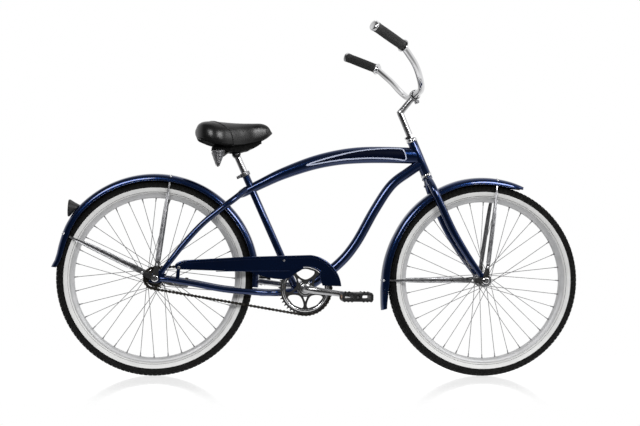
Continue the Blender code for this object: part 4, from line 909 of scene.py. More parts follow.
# The pinstripe panel on each side of the top tube: rows of (ahead, low, high) in parts of the
# tube's half height, from the pointed end at the rear to the slanted one at the head.
STRIPE_PANEL = [
    (0.5130, -0.06, -0.02), (0.5320, -0.22, 0.05), (0.5625, -0.31, 0.12), (0.5975, -0.36, 0.20),
    (0.6325, -0.39, 0.30), (0.6675, -0.41, 0.41), (0.7025, -0.41, 0.52), (0.7375, -0.41, 0.61),
    (0.7725, -0.43, 0.69), (0.8075, -0.48, 0.74), (0.8355, -0.54, 0.75),
]
PANEL_END = [(0.8460, -0.58, 0.67), (0.8525, -0.57, 0.36), (0.8565, -0.53, -0.06), (0.8578, -0.48, -0.34)]
PANEL_LIFT = 0.0003
PANEL_DEPTH = 0.0006
# The line round the slanted end, as (ahead, part of the half height).
STRIPE_END = [(0.8460, 0.67), (0.8525, 0.36), (0.8565, -0.06), (0.8584, -0.42), (0.8520, -0.60)]
STRIPE_HALF_WIDTH = 0.0026
STRIPE_HALF_THICK = 0.0002
STRIPE_LIFT = 0.0006


def on_top_tube(ahead, share, sign, lift):
    """A point over the top tube's side, at a part of its half height."""
    x, _, z, wide, high = row_at(TOP_TUBE_LINE, ahead)
    lean = asin(max(-1, min(1, share)))
    return at(x, sign * (wide + lift) * cos(lean), z + (high + lift) * sin(lean))


def stripe(paint, dark):
    """The pale line round a long dark panel on each side of the top tube."""
    rows = smooth(STRIPE_PANEL, 8)
    high, low = [(x, b) for x, _, b in rows], [(x, a) for x, a, _ in rows]
    loop = high + smooth([high[-1], *STRIPE_END, low[-1]], 5)[1:-1] + low[::-1]
    lines, panels = [], []
    for _, sign in SIDES:
        path = [(on_top_tube(x, share, sign, STRIPE_LIFT), STRIPE_HALF_WIDTH, STRIPE_HALF_THICK)
                for x, share in loop]
        lines.append(sweep(path, 6, UP, closed=True))
        faces = []
        for x, a, b in rows + PANEL_END:
            shares = [a + (b - a) * k / 8 for k in range(9)]
            faces.append([on_top_tube(x, share, sign, PANEL_LIFT) for share in shares]
                         + [on_top_tube(x, share, sign, -PANEL_DEPTH) for share in shares[::-1]])
        panels.append(sheet_of(faces))
    piece("top_tube_stripe", gather(lines), paint, "frame_body")
    piece("top_tube_panel", gather(panels), dark, "frame_body")


def headset(metal):
    """The two cups, with their rounded lips."""
    inner = 0.0137
    profile = [(-0.009, inner), (-0.009, 0.0143), (GAP, 0.0143), (GAP, 0.0186), (0.0030, 0.0195),
               (0.0052, 0.0190), (0.0060, 0.0181), (0.0095, 0.0185), (0.0095, inner)]
    for name, height, direction in (("lower", 0, -HEAD_UP), ("upper", HEAD_LENGTH, HEAD_UP)):
        shape = turned(rounded(profile, 0.0007), on_head(height), direction)
        piece("headset_cup_" + name, shape, metal, "frame_body", ["head_bearing_" + name])


def bracket_cups(metal):
    inner = CONE_BORE
    profile = [(-0.012, inner), (-0.012, 0.0246), (GAP, 0.0246), (GAP, 0.0280), (0.0012, 0.0282),
               (0.0025, 0.0262), (0.0016, 0.0220), (0.0025, 0.0180), (0.0025, inner)]
    for word, sign in SIDES:
        place = BRACKET + ACROSS * sign * SHELL_HALF_WIDTH
        shape = turned(rounded(profile, 0.0006), place, ACROSS * sign)
        piece("bracket_cup_" + word, shape, metal, "frame_body", ["bb_bearing_" + word])


def seat_collar(metal):
    """The collar round the top of the seat tube, with its bolt ears to the rear."""
    base = on_seat(SEAT_TOP[1]) - SEAT_UP * 0.011
    back = behind(SEAT_UP)
    middle = base + SEAT_UP * 0.0065
    shapes = [ring(base, SEAT_UP, 0.0131, 0.0170, 0.0135, 40, 0.0010)]
    for _, sign in SIDES:
        spot = middle + back * 0.0232 + ACROSS * sign * 0.0033
        shapes.append(leaned_block(spot, (0.0165, 0.0030, 0.0104), (back, ACROSS, SEAT_UP), 0.0012))
    bolt = middle + back * 0.0245
    shapes.append(crossbar(bolt, 0.0029, 0.0095, 20))
    shapes.append(hexagon_head(bolt - ACROSS * 0.0050, -ACROSS, 0.0088, 0.0046))
    shapes.append(hexagon_head(bolt + ACROSS * 0.0050, ACROSS, 0.0088, 0.0042))
    piece("seat_collar", gather(shapes), metal, "frame_body", ["seat_clamp"])


# Fenders and their stays.

# Rows of (angle in degrees about the axle, crown radius, half width, depth).
REAR_FENDER = [
    (-5, 0.3530, 0.0290, 0.0220), (4, 0.3550, 0.0310, 0.0240), (140, 0.3550, 0.0310, 0.0240),
    (150, 0.3510, 0.0310, 0.0240), (158, 0.3455, 0.0310, 0.0235), (166, 0.3415, 0.0310, 0.0215),
    (170, 0.3430, 0.0305, 0.0200), (174.3, 0.3523, 0.0270, 0.0180),
]
FRONT_FENDER = [
    (66.8, 0.3560, 0.0240, 0.0120), (72, 0.3570, 0.0300, 0.0210), (80, 0.3572, 0.0310, 0.0240),
    (104, 0.3580, 0.0310, 0.0245), (140, 0.3530, 0.0310, 0.0240), (152, 0.3510, 0.0310, 0.0240),
    (164, 0.3528, 0.0310, 0.0245), (173, 0.3552, 0.0310, 0.0250), (182, 0.3578, 0.0310, 0.0255),
    (190, 0.3640, 0.0300, 0.0230), (196.6, 0.3718, 0.0270, 0.0182),
]
# The section's rows of (share of the half width, share of the depth below the crown).
FENDER_SECTION = [(1, 1), (0.985, 0.72), (0.91, 0.42), (0.73, 0.17), (0.45, 0.05), (0.2, 0.006), (0, 0)]
FENDER_STEP = 2.0
FENDER_SHEET = 0.0009
HEM_INSET = 0.0008
HEM_RADIUS = 0.0012
STAY_INSET = 0.0050
STAY_HALF_SHEET = 0.0007
STAY_ARCH_HALF_WIDTH = 0.0027
# The trough of a stay's leg: its depth in half thicknesses, where it starts and ends, its run-out.
TROUGH_DEPTH = 2.6
TROUGH_START = 0.070
TROUGH_END = 0.300
TROUGH_RUN_OUT = 0.03


def fender_section(crown, wide, deep, inset=0.0):
    """Points of (side, radius) across a fender, at a distance inside its outer skin."""
    half = smooth([(wide * u, crown - deep * v) for u, v in FENDER_SECTION], 2)
    line = half + [[-y, r] for y, r in half[::-1][1:]]
    moved = []
    for k, (y, r) in enumerate(line):
        before, after = line[max(k - 1, 0)], line[min(k + 1, len(line) - 1)]
        dy, dr = after[0] - before[0], after[1] - before[1]
        size = hypot(dy, dr)
        moved.append((y - dr / size * inset, r - abs(dy) / size * inset))
    return moved


def fender(name, node, axle, rows, body, paint):
    """A deep pressed fender with a rolled hem along its edges."""
    count = round((rows[-1][0] - rows[0][0]) / FENDER_STEP)
    faces, hems = [], ([], [])
    for k in range(count + 1):
        angle = rows[0][0] + (rows[-1][0] - rows[0][0]) * k / count
        sizes = row_at(rows, angle)[1:]
        turn = radians(angle)
        outer, inner = fender_section(*sizes), fender_section(*sizes, inset=FENDER_SHEET)
        faces.append([axle + flat(turn, r) + ACROSS * y for y, r in outer + inner[::-1]])
        for hem, (y, r), side in zip(hems, (outer[0], outer[-1]), (LEFT, RIGHT)):
            hem.append(axle + flat(turn, r + HEM_INSET) + ACROSS * (y - side * HEM_INSET))
    whole = gather([sheet_of(faces), *(wire(hem, HEM_RADIUS, 10) for hem in hems)])
    piece(name, whole, paint, body, [node], radians(50))


def channel(depth):
    """A shallow trough section, as shares of the half width and the half thickness."""
    top = [(1 - 2 * k / 8, 1 + depth * (1 - (1 - k / 4) ** 2)) for k in range(9)]
    return top + [(u, v - 2) for u, v in top[::-1]]


def stay(node, axle, rows, angle, foot_y, body, metal, bright):
    """A bent strap, pressed to a trough on its legs, that runs under the fender's crown."""
    crown, wide, deep = row_at(rows, angle)[1:]
    turn = radians(angle)
    arch = [(y, r) for y, r in fender_section(crown, wide, deep, STAY_INSET) if y >= 0]
    leg = smooth([(foot_y, 0.040, 0.0062), (foot_y, 0.058, 0.0064), (foot_y - 0.002, 0.075, 0.0074),
                  (0.0460, 0.225, 0.0070), (0.0345, 0.295, 0.0044), (0.0322, 0.318, STAY_ARCH_HALF_WIDTH)], 5)
    half = leg + [[y, r, STAY_ARCH_HALF_WIDTH] for y, r in arch if r > leg[-1][1]]
    path = half + [[-y, r, w] for y, r, w in half[::-1]]
    along = flat(turn + pi / 2)
    faces = []
    for k, (y, r, half_width) in enumerate(path):
        before, after = path[max(k - 1, 0)], path[min(k + 1, len(path) - 1)]
        run = (flat(turn, after[1] - before[1]) + ACROSS * (after[0] - before[0])).normalized()
        out = run.cross(along) * STAY_HALF_SHEET
        room = min(r - TROUGH_START, TROUGH_END - r)
        trough = TROUGH_DEPTH * max(0.0, min(1.0, room / TROUGH_RUN_OUT))
        centre = axle + flat(turn, r) + ACROSS * y
        faces.append([centre + along * half_width * u + out * v for u, v in channel(trough)])
    piece(node + "_strap", loft(faces), metal, body, [node])
    heads = [round_head(axle + flat(turn, crown - 0.0006), flat(turn), 0.0050, 0.0028)]
    for _, sign in SIDES:
        spot = axle + flat(turn, crown - 0.26 * deep) + ACROSS * sign * 0.81 * wide
        heads.append(round_head(spot, (ACROSS * sign + flat(turn) * 0.5).normalized(), 0.0040, 0.0034))
    piece(node + "_strap_screws", gather(heads), bright, body)


def stay_lug(word, place, axle, angles, inner_y, sign, body, plastic, metal):
    """The black plate under an axle nut whose two arms carry the stays, with its bolts."""
    centre = (axle.x + ORIGIN_AHEAD, axle.z)
    first, second = (radians(a) for a in angles)
    outline, heads = [], []
    for angle in (first, second):
        tip = (centre[0] + LUG_REACH * cos(angle), centre[1] + LUG_REACH * sin(angle))
        outline += around(tip, angle - pi / 2, angle + pi / 2, 0.0068, 9)
        if angle == first:
            outline += around(centre, (first + second) / 2, second, 0.0150, 2)[:1]
        spot = at(tip[0], sign * (inner_y + LUG_SHEET), tip[1])
        heads.append(round_head(spot, ACROSS * sign, 0.0046, 0.0036))
    outline += around(centre, second + radians(60), first + 2 * pi - radians(60), 0.0130, 14)
    hole = full_circle(centre, AXLE_HOLE)
    node = f"{place}_stay_lug_{word}"
    shape = plate(outline, *span(sign, inner_y, inner_y + LUG_SHEET), [hole], 0.0005)
    piece(node + "_plate", shape, plastic, body, [node])
    piece(node + "_bolts", gather(heads), metal, body)


def axle_nut(word, place, axle, inner_y, sign, body, metal):
    """A hexagon nut with a round flange."""
    out = ACROSS * sign
    base = axle + out * inner_y
    profile = [(0, AXLE_HOLE), (0, 0.0118), (0.0014, 0.0118), (0.0028, 0.0090), (0.0028, AXLE_HOLE)]
    flange = turned(rounded(profile, 0.0005), base, out, 40)
    nut = hexagon_head(base + out * 0.0022, out, 0.0152, 0.0078, 0.0010)
    nut = combine(nut, [rod(base - out * 0.01, out, AXLE_HOLE, 0.04)], "DIFFERENCE")
    piece(f"{place}_nut_{word}", gather([flange, nut]), metal, body, [f"{place}_axle_nut_{word}"])


def axle_rod(place, axle, half_length, cones, body, metal):
    """A threaded axle with a cone on it at each side."""
    thread = []
    first = 0.0006 - half_length
    for k in range(AXLE_THREADS):
        thread += [(first + k * THREAD_PITCH, AXLE_RADIUS),
                   (first + (k + 0.5) * THREAD_PITCH, AXLE_RADIUS - THREAD_DEPTH)]
    profile = [(-half_length, AXLE_RADIUS - 0.0008), *thread]
    for start, end in cones:
        profile += [(start, AXLE_RADIUS), (start, 0.0086), (end, 0.0086), (end, AXLE_RADIUS)]
    profile += [(-y, r) for y, r in thread[::-1]] + [(half_length, AXLE_RADIUS - 0.0008)]
    shape = turned(profile, axle, ACROSS, 28, closed=False)
    piece(place + "_axle_thread", shape, metal, body, [place + "_axle"], radians(25))


def reflector(plastic, red):
    """The round reflector on the rear fender: a tapered housing and a lens of small prisms."""
    face = at(-0.2955, 0, 0.5680)
    ahead = Vector((1, 0, -0.05)).normalized()
    radius = 0.0290
    profile = [(0.0022, radius - 0.0025), (0, radius - 0.0022), (0, radius - 0.0004), (0.0006, radius),
               (0.006, radius), (0.0080, radius - 0.0012), (0.022, 0.0200), (0.040, 0.0120), (0.060, 0.0100)]
    cup = turned(profile, face, ahead, 56, closed=False)
    outward = flat(pi - atan2(face.z - TYRE_RADIUS, 0.262))
    room = turned([(FENDER_CROWN + 0.0001, 0.07), (FENDER_CROWN + 0.12, 0.07)], REAR_AXLE, outward, 4,
                  closed=False)
    piece("reflector_housing", combine(cup, [room], "INTERSECT"), plastic, "frame_body",
          ["rear_reflector"])
    first, second = square_to(ahead)
    turns = [pi * (n / 3 + 1 / 6) for n in range(6)]
    shape = bmesh.new()
    size = 0.0021
    disc = radius - 0.0028
    for i in range(-14, 15):
        for j in range(-16, 17):
            u, v = size * (i + 0.5 * (j % 2)), size * j * 0.866
            if hypot(u, v) > disc - size * 0.6:
                continue
            centre = face + first * u + second * v + ahead * 0.0012
            corners = [shape.verts.new(centre + (first * cos(a) + second * sin(a)) * size * 0.577)
                       for a in turns]
            tip = shape.verts.new(centre - ahead * 0.0007)
            for n in range(6):
                shape.faces.new((corners[n], corners[(n + 1) % 6], tip))
            shape.faces.new(corners[::-1])
    back = rod(face + ahead * 0.0012, ahead, disc, 0.0008, 56)
    piece("reflector_prisms", gather([shape, back]), red, "frame_body",
          ["rear_reflector_lens"], radians(20))


# The chain guard.


def guard_edges():
    """The guard's top edge from tail to nose, the crank cut-out, and the lobe below the face."""
    centre = (BRACKET_AHEAD + 0.003, BRACKET_HEIGHT)
    tail = [(0.0845, 0.3613), (0.0715, 0.3660), (0.0665, 0.3757), (0.0745, 0.3870), (0.0975, 0.3955)]
    straight = [(0.0975 + 0.2005 * k / 6, 0.3955 + 0.0130 * k / 6) for k in range(1, 7)]
    nose = []
    for k in range(25):
        angle = radians(84 - 79 * k / 24)
        radius = 0.1165 + 0.0030 * k / 24
        nose.append((centre[0] + radius * cos(angle), centre[1] + radius * sin(angle)))
    top = smooth(tail, 5) + straight + nose
    cut_out = smooth([(0.5690, 0.3130), (0.5610, 0.3350), (0.5585, 0.3560)], 5)
    cut_out += around(centre, radians(50), radians(100), 0.0775, 16)
    cut_out += [(0.4990, 0.3676)]
    lobe = smooth([(0.4990, 0.3676), (0.4725, 0.3518), (0.4550, 0.3395), (0.4330, 0.3335),
                   (0.4080, 0.3345), (0.3850, 0.3383), (0.3450, 0.3490), (0.3150, 0.3608)], 6)
    return top, cut_out, lobe


def bend_line(bend, radius, turns):
    """Points of (inwards, off the face) round the guard's bend, at parts of a quarter turn."""
    return [(bend - radius * sin(pi / 2 * t), bend - radius * cos(pi / 2 * t)) for t in turns]


def chain_guard(paint, metal):
    """A pressed guard: a flat face, a rounded flange over the chain, and a set-back lobe."""
    top, cut_out, lobe = guard_edges()
    face, bend, step = GUARD_FACE_Y, 0.0030, 0.0025
    turns = [n / 5 for n in range(6)]
    section = [*bend_line(bend, bend, turns), (0, GUARD_FLANGE),
               (SHEET, GUARD_FLANGE), *bend_line(bend, bend - SHEET, turns[::-1])]
    inner_edge, faces, rib = [], [], []
    for k, (x, z) in enumerate(top):
        run = (Vector(top[min(k + 1, len(top) - 1)]) - Vector(top[max(k - 1, 0)])).normalized()
        inward = Vector((run.y, -run.x))
        inner_edge.append((x + inward.x * bend, z + inward.y * bend))
        faces.append([at(x + inward.x * u, face + v, z + inward.y * u) for u, v in section])
        if 4 <= k < len(top) - 2:
            rib.append((at(x + inward.x * 0.0095, face, z + inward.y * 0.0095), 0.0016, 0.0009))
    crease = [lobe[-1], (0.2000, 0.3611)]
    lobe_top = [(0.4990, 0.3696), (0.3150, 0.3628)]
    line = [(at(x, face, 0.3590 + 0.004 * (x - 0.2) / 0.25), 0.0009, 0.0014)
            for x in (0.2050 + 0.25 * k / 12 for k in range(13))]
    shapes = [
        loft(faces),
        plate(inner_edge + cut_out + crease, face, face + SHEET),
        plate(lobe[::-1][:-1] + lobe_top, face + step, face + step + SHEET),
        wire([at(x, face + 0.0002, z) for x, z in cut_out], 0.0011, 10),
        sweep(rib, 10),
        sweep(line, 10),
    ]
    piece("guard_shell", gather(shapes), paint, "frame_body", ["chain_guard"])
    screws = [round_head(at(0.0800, face + 0.0004, 0.3710), -ACROSS, 0.0052, 0.0026),
              round_head(on_seat(0.3975) + ACROSS * (face + 0.0004), -ACROSS, 0.0040, 0.0022)]
    piece("guard_screws", gather(screws), metal, "frame_body")


def guard_bracket(plastic):
    """A band round the seat tube with an arm that reaches the guard's inner face."""
    centre = on_seat(0.4015)
    reach = abs(GUARD_FACE_Y) - SHEET - GAP
    shapes = [
        ring(centre - SEAT_UP * 0.0055, SEAT_UP, SEAT_TUBE_RADIUS + 0.0004, 0.0158, 0.011),
        block(centre + Vector((0, -(reach + 0.0142) / 2, 0)), (0.011, reach - 0.0142, 0.0022), 0.0005),
        block(centre + Vector((0, -reach + 0.0011, -0.004)), (0.011, 0.0022, 0.0100), 0.0005),
    ]
    piece("guard_strap", gather(shapes), plastic, "frame_body", ["guard_bracket"])


def brake_arm(metal, plastic):
    """The coaster brake's arm inside the left dropout, and the strap that ties it."""
    h = TYRE_RADIUS
    outline = around((0, h), radians(60), radians(250), 0.0165, 18)
    outline += rounded([(0.020, 0.3155), (0.045, 0.3055), (0.100, 0.2975), (0.112, 0.2990),
                        (0.112, 0.3090), (0.100, 0.3095), (0.050, 0.3180), (0.018, 0.3360)],
                       0.006, 3, closed=False)
    shape = plate(outline, 0.0452, 0.0475, [full_circle((0, h), AXLE_HOLE)], 0.0005)
    piece("coaster_arm", shape, metal, "frame_body", ["brake_arm"])
    rows = smooth([(x, y, z) for x, y, z, _, _ in CHAINSTAY], 4)
    here = min(range(1, len(rows) - 1), key=lambda k: abs(rows[k][0] - 0.103))
    centre, along = at(*rows[here]), (at(*rows[here + 1]) - at(*rows[here - 1])).normalized()
    shapes = [ring(centre - along * 0.005, along, 0.0110, 0.0130, 0.010, 36, 0.0003),
              block(at(0.104, 0.0490, 0.3035), (0.009, 0.0024, 0.0140), 0.0005)]
    piece("coaster_clip", gather(shapes), plastic, "frame_body", ["brake_arm_clip"])


# The fork and the headset nut.

FORK_BLADE = [
    (0.9380, 0.0090, 0.6827, 0.0115, 0.0125),
    (0.9430, 0.0280, 0.6690, 0.0120, 0.0130),
    (0.9530, 0.0450, 0.6440, 0.0118, 0.0128),
    (0.9725, 0.0500, 0.6000, 0.0115, 0.0134),
    (1.0165, 0.0505, 0.5080, 0.0107, 0.0131),
    (1.0655, 0.0505, 0.4260, 0.0092, 0.0119),
    (1.1180, 0.0505, 0.3530, 0.0045, 0.0086),
]


def fork_end(sign):
    """A slotted plate at the foot of a fork blade."""
    neck = atan2(0.353 - TYRE_RADIUS, 1.118 - WHEELBASE)
    along, across = Vector((cos(neck), sin(neck))), Vector((-sin(neck), cos(neck)))
    slot = AXLE_HOLE
    shape = [(0.034, -0.006), (0.012, -0.0125), (0.000, -0.0150), (-0.011, -0.0125),
             (-0.0140, -slot), (0, -slot), (0.0048, -0.0028), (0.0048, 0.0028), (0, slot),
             (-0.0140, slot), (-0.011, 0.0125), (0.000, 0.0150), (0.012, 0.0125), (0.034, 0.006)]
    centre = Vector((WHEELBASE, TYRE_RADIUS))
    outline = [tuple(centre + along * u + across * v) for u, v in shape]
    return plate(rounded(outline, 0.004), *span(sign, *FORK_END_SIDES), edge=0.0006)


def fork(paint, metal):
    """The fork: steerer, crown, two raked blades and their ends."""
    shapes = [
        ring(on_head(-0.022), HEAD_UP, STEERER_BORE, STEERER_RADIUS, HEAD_LENGTH + 0.044, 36),
        rod(on_head(-0.0225), HEAD_UP, 0.0172, 0.0127, 40, 0.0015),
        fender_rod(on_head(-0.015), FRONT_AXLE, 0.0050),
    ]
    for _, sign in SIDES:
        shapes.append(tube(FORK_BLADE, 8, 28, sign))
        shapes.append(fork_end(sign))
    piece("fork_frame", gather(shapes), paint, "fork_body", ["fork"])
    back = behind(HEAD_UP)
    bolts = [gather([rod(place + back * 0.012, back, 0.0024, 0.008, 16),
                     hexagon_head(place + back * 0.0150, back, 0.0080, 0.0040)])
             for place in (on_head(-0.0155), on_head(-0.0390) + back * 0.004)]
    piece("crown_bolts", gather(bolts), metal, "fork_body")


def head_locknut(metal):
    """The adjusting cone and the locknut on top of the headset."""
    base = on_head(HEAD_LENGTH + 0.0099)
    inner = CONE_BORE
    profile = [(0, inner), (0, 0.0180), (0.0045, 0.0162), (0.0050, inner)]
    cone = turned(rounded(profile, 0.0006), base, HEAD_UP)
    nut = combine(hexagon_head(base + HEAD_UP * 0.0055, HEAD_UP, 0.0372, 0.0085, 0.0012),
                  [rod(base, HEAD_UP, inner, 0.03, 40)], "DIFFERENCE")
    piece("headset_nut", gather([cone, nut]), metal, "fork_body", ["head_locknut"])


# The stem, the handlebar and the grips.


def stem(metal, plain):
    """The quill, the sharp elbow, the arm and the split clamp with its bolt."""
    elbow = on_head((STEM_ELBOW_HEIGHT - HEAD_BOTTOM.z) / HEAD_UP.z)
    clamp = BAR_CLAMP
    arm = (clamp - elbow).normalized()
    half_bend = acos(arm.dot(HEAD_UP)) / 2
    widened = QUILL_RADIUS / cos(half_bend)
    path = [(on_head(0.030), QUILL_RADIUS, QUILL_RADIUS),
            (elbow - HEAD_UP * 0.020, QUILL_RADIUS, QUILL_RADIUS),
            (elbow - HEAD_UP * 0.004, QUILL_RADIUS, QUILL_RADIUS * 1.02),
            (elbow, QUILL_RADIUS, widened),
            (elbow + arm * 0.006, 0.0109, 0.0112),
            (elbow + arm * 0.020, 0.0105, 0.0108),
            (elbow + arm * 0.045, 0.0108, 0.0106),
            (clamp - arm * 0.008, 0.0125, 0.0105)]
    body = sweep(path, 32)
    profile = [(-0.017, 0.0160), (-0.0160, 0.0172), (-0.0140, 0.0178), (0.0140, 0.0178),
               (0.0160, 0.0172), (0.017, 0.0160)]
    clamp_ring = turned(profile, clamp, ACROSS, closed=False)
    down = Vector((0.30, 0, -1)).normalized()
    axes = (down.cross(ACROSS), ACROSS, down)
    lug = leaned_block(clamp + down * 0.0225, (0.013, 0.026, 0.016), axes, 0.0025)
    shape = combine(combine(body, [clamp_ring, lug]), [
        crossbar(clamp, 0.0129, 0.03, 40),
        crossbar(clamp + down * 0.0240, 0.0037, 0.02, 20),
        block(clamp + down * 0.026, (0.030, 0.0020, 0.024)),
        rod(on_head(0.020), HEAD_UP, 0.0048, 0.1750, 20),
    ], "DIFFERENCE")
    piece("quill_stem", shape, metal, "stem_body", ["stem"])
    place = clamp + down * 0.0240 - ACROSS * 0.0135
    bolt = gather([hexagon_head(place, -ACROSS, 0.0105, 0.0060),
                   rod(place - ACROSS * 0.0010, ACROSS, 0.0031, 0.0300, 20, 0.0005)])
    piece("clamp_bolt", bolt, plain, "stem_body", ["stem_clamp_bolt"])


# Half of the bar, from its middle out: rows of (ahead, side, height).
BAR = [
    (0.8890, 0.000, 0.9750), (0.8890, 0.060, 0.9750), (0.8860, 0.148, 0.9820),
    (0.8700, 0.214, 1.0095), (0.8440, 0.264, 1.0505), (0.7960, 0.3125, 1.1030),
]
GRIP_END = (0.6880, 0.3900, 1.1560)
BAR_RADIUS = 0.0111
BAR_CENTRE_RADIUS = 0.0127
BAR_IN_GRIP = 0.136
GRIP_RADIUS = 0.0168
GRIP_LENGTH = 0.1305
GRIP_RIBS = 36
GRIP_GROOVE = 0.0009
CAP_END = 0.1431


def grip_line(sign):
    """The start of a grip and the direction that it runs in."""
    start, end = (at(p[0], sign * p[1], p[2]) for p in (BAR[-1], GRIP_END))
    return start, (end - start).normalized()


def handlebar(metal):
    """The high-rise bar, with a flange on it before each grip."""
    half = smooth(BAR, 10)
    profile = [(-0.0120, 0.0116), (-0.0110, 0.0146), (-0.0070, 0.0154), (-0.0045, 0.0160),
               (-0.0038, 0.0205), (-0.0030, 0.0214), (-0.0016, 0.0215), (-0.0008, 0.0206),
               (-0.0004, 0.0120)]
    path, shapes = [], []
    for _, sign in SIDES:
        start, run = grip_line(sign)
        ends = [(start + run * BAR_IN_GRIP, BAR_RADIUS, BAR_RADIUS)]
        for x, y, z in half[::-1][:-1]:
            swell = max(0.0, min(1.0, (0.060 - y) / 0.015))
            radius = BAR_RADIUS + (BAR_CENTRE_RADIUS - BAR_RADIUS) * swell
            ends.append((at(x, sign * y, z), radius, radius))
        centre = [(at(*BAR[0]), BAR_CENTRE_RADIUS, BAR_CENTRE_RADIUS)]
        path = ends + centre if sign == RIGHT else path + ends[::-1]
        shapes.append(turned(profile, start, run, closed=False))
    shapes.append(sweep(path, 32, UP))
    piece("riser_bar", gather(shapes), metal, "bar_body", ["handlebar"])


def grip_sleeve(start, run):
    """A grip's rubber: lengthwise ribs, each four steps round, between plain ends."""
    groove = GRIP_RADIUS - 0.0006
    rows = [(GAP, 0.0116, 0), (GAP, 0.0160, 0), (0.0012, GRIP_RADIUS, 0), (0.0090, GRIP_RADIUS, 0),
            (0.0105, groove, 0.4), (0.0120, groove, 1)]
    rows += [(0.0120 + 0.105 * k / 10, groove + 0.0006 * sin(pi * k / 10), 1) for k in range(1, 11)]
    rows += [(0.1185, groove, 0.4), (0.1200, GRIP_RADIUS, 0), (GRIP_LENGTH - 0.001, GRIP_RADIUS, 0),
             (GRIP_LENGTH, 0.0160, 0), (GRIP_LENGTH, 0.0116, 0)]
    first, second = square_to(run)
    steps = GRIP_RIBS * 4
    turns = [2 * pi * n / steps for n in range(steps)]
    depths = [GRIP_GROOVE * (1, 0.35, 0, 0.35)[n % 4] for n in range(steps)]
    return loft([[start + run * along + (first * cos(a) + second * sin(a)) * (radius - depth * cut)
                  for a, depth in zip(turns, depths)] for along, radius, cut in rows], closed=True)


def grips(rubber, metal):
    """Two ribbed rubber grips, closed by domed chrome caps."""
    edge = GRIP_LENGTH + GAP
    profile = [(BAR_IN_GRIP + 0.0015, 0.0116), (edge, 0.0116), (edge, 0.0172), (edge + 0.0006, 0.0178),
               (edge + 0.0030, 0.0179), (edge + 0.0036, 0.0173), (edge + 0.0046, 0.0173),
               (edge + 0.0052, 0.0179), (CAP_END - 0.0048, 0.0179), (CAP_END - 0.0030, 0.0165),
               (CAP_END - 0.0012, 0.0128), (CAP_END - 0.0003, 0.0080), (CAP_END, 0.0030)]
    for word, sign in SIDES:
        start, run = grip_line(sign)
        piece("grip_sleeve_" + word, grip_sleeve(start, run), rubber, "bar_body",
              ["grip_" + word], radians(60))
        cap = turned(profile, start, run, closed=False)
        piece("end_cap_" + word, cap, metal, "bar_body", ["grip_cap_" + word])


# The wheels.

TREAD_BLOCKS = 132
# Rows of the tread: (side, radius, half width, half length, skew, offset in parts of a block's step).
TREAD_ROWS = [
    (0.0000, 0.33075, 0.0030, 0.0046, 0.0, 0.0),
    (0.0078, 0.32985, 0.0030, 0.0050, 0.30, 0.25),
    (0.0148, 0.32690, 0.0030, 0.0050, 0.30, 0.0),
    (0.0202, 0.32215, 0.0026, 0.0042, 0.2, 0.5),
    (0.0240, 0.31650, 0.0022, 0.0036, 0.0, 0.5),
]
TREAD_HEIGHT = 0.0027
TREAD_DEPTH = 0.0008
# Half of the casing's outside, from the rim to the crown: rows of (side, radius).
CASING = [(0.0146, 0.2868), (0.0180, 0.2880), (0.0220, 0.2918), (0.0246, 0.2968), (0.0259, 0.3030),
          (0.0263, WHITEWALL_RADIUS), (0.0258, 0.3130), (0.0233, 0.3186), (0.0186, 0.3245),
          (0.0122, 0.3288), (0.0060, 0.3303), (0.0000, 0.3306)]
TYRE_STEPS = 180


def tread(axle):
    """Rows of skewed, tapered blocks round the casing."""
    blocks = bmesh.new()
    for side, radius, wide, long, skew, offset in TREAD_ROWS:
        slope = atan2(side, 0.0265) * 0.9
        for sign in ((1,) if side == 0 else (1, -1)):
            for k in range(TREAD_BLOCKS):
                turn = (k + offset) * 2 * pi / TREAD_BLOCKS
                out = flat(turn) * cos(slope) + ACROSS * sign * sin(slope)
                along = flat(turn + pi / 2)
                across = along.cross(out) * -sign
                place = axle + flat(turn, radius) + ACROSS * sign * side
                low, high = [[
                    blocks.verts.new(place + along * (u * long * shrink + v * skew * long)
                                     + across * v * wide * shrink + out * lift)
                    for u, v in ((-1, -1), (1, -1), (1, 1), (-1, 1))
                ] for lift, shrink in ((-TREAD_DEPTH, 1.12), (TREAD_HEIGHT, 0.84))]
                blocks.faces.new(high)
                skin(blocks, [low, high])
    return blocks


def tyre(word, axle, rubber, white):
    """The casing with its white side walls, two raised bands on each, and the tread."""
    half = smooth(CASING, 3)
    outer = half + [[-y, r] for y, r in half[::-1][1:]]
    outer += [[-0.0110, 0.2868], [0, 0.3200], [0.0110, 0.2868]]
    shape = turned(outer, axle, ACROSS, TYRE_STEPS)
    for face in shape.faces:
        centre = face.calc_center_median() - axle
        radius = hypot(centre.x, centre.z)
        face.material_index = 1 if radius < WHITEWALL_RADIUS and abs(centre.y) > 0.0130 else 0
    bands = []
    for _, sign in SIDES:
        for radius, thick in ((WHITEWALL_RADIUS + 0.0002, 0.0005), (0.2925, 0.00025)):
            side = next(y for y, r in half if r >= radius)
            profile = [(sign * (side + thick * cos(a)), radius + thick * 1.6 * sin(a))
                       for a in (2 * pi * n / 6 for n in range(6))]
            bands.append(turned(profile, axle, ACROSS, TYRE_STEPS))
    piece(word + "_tyre_casing", gather([shape, *bands, tread(axle)]), [rubber, white], word + "_wheel",
          [word + "_tyre"], radians(32))


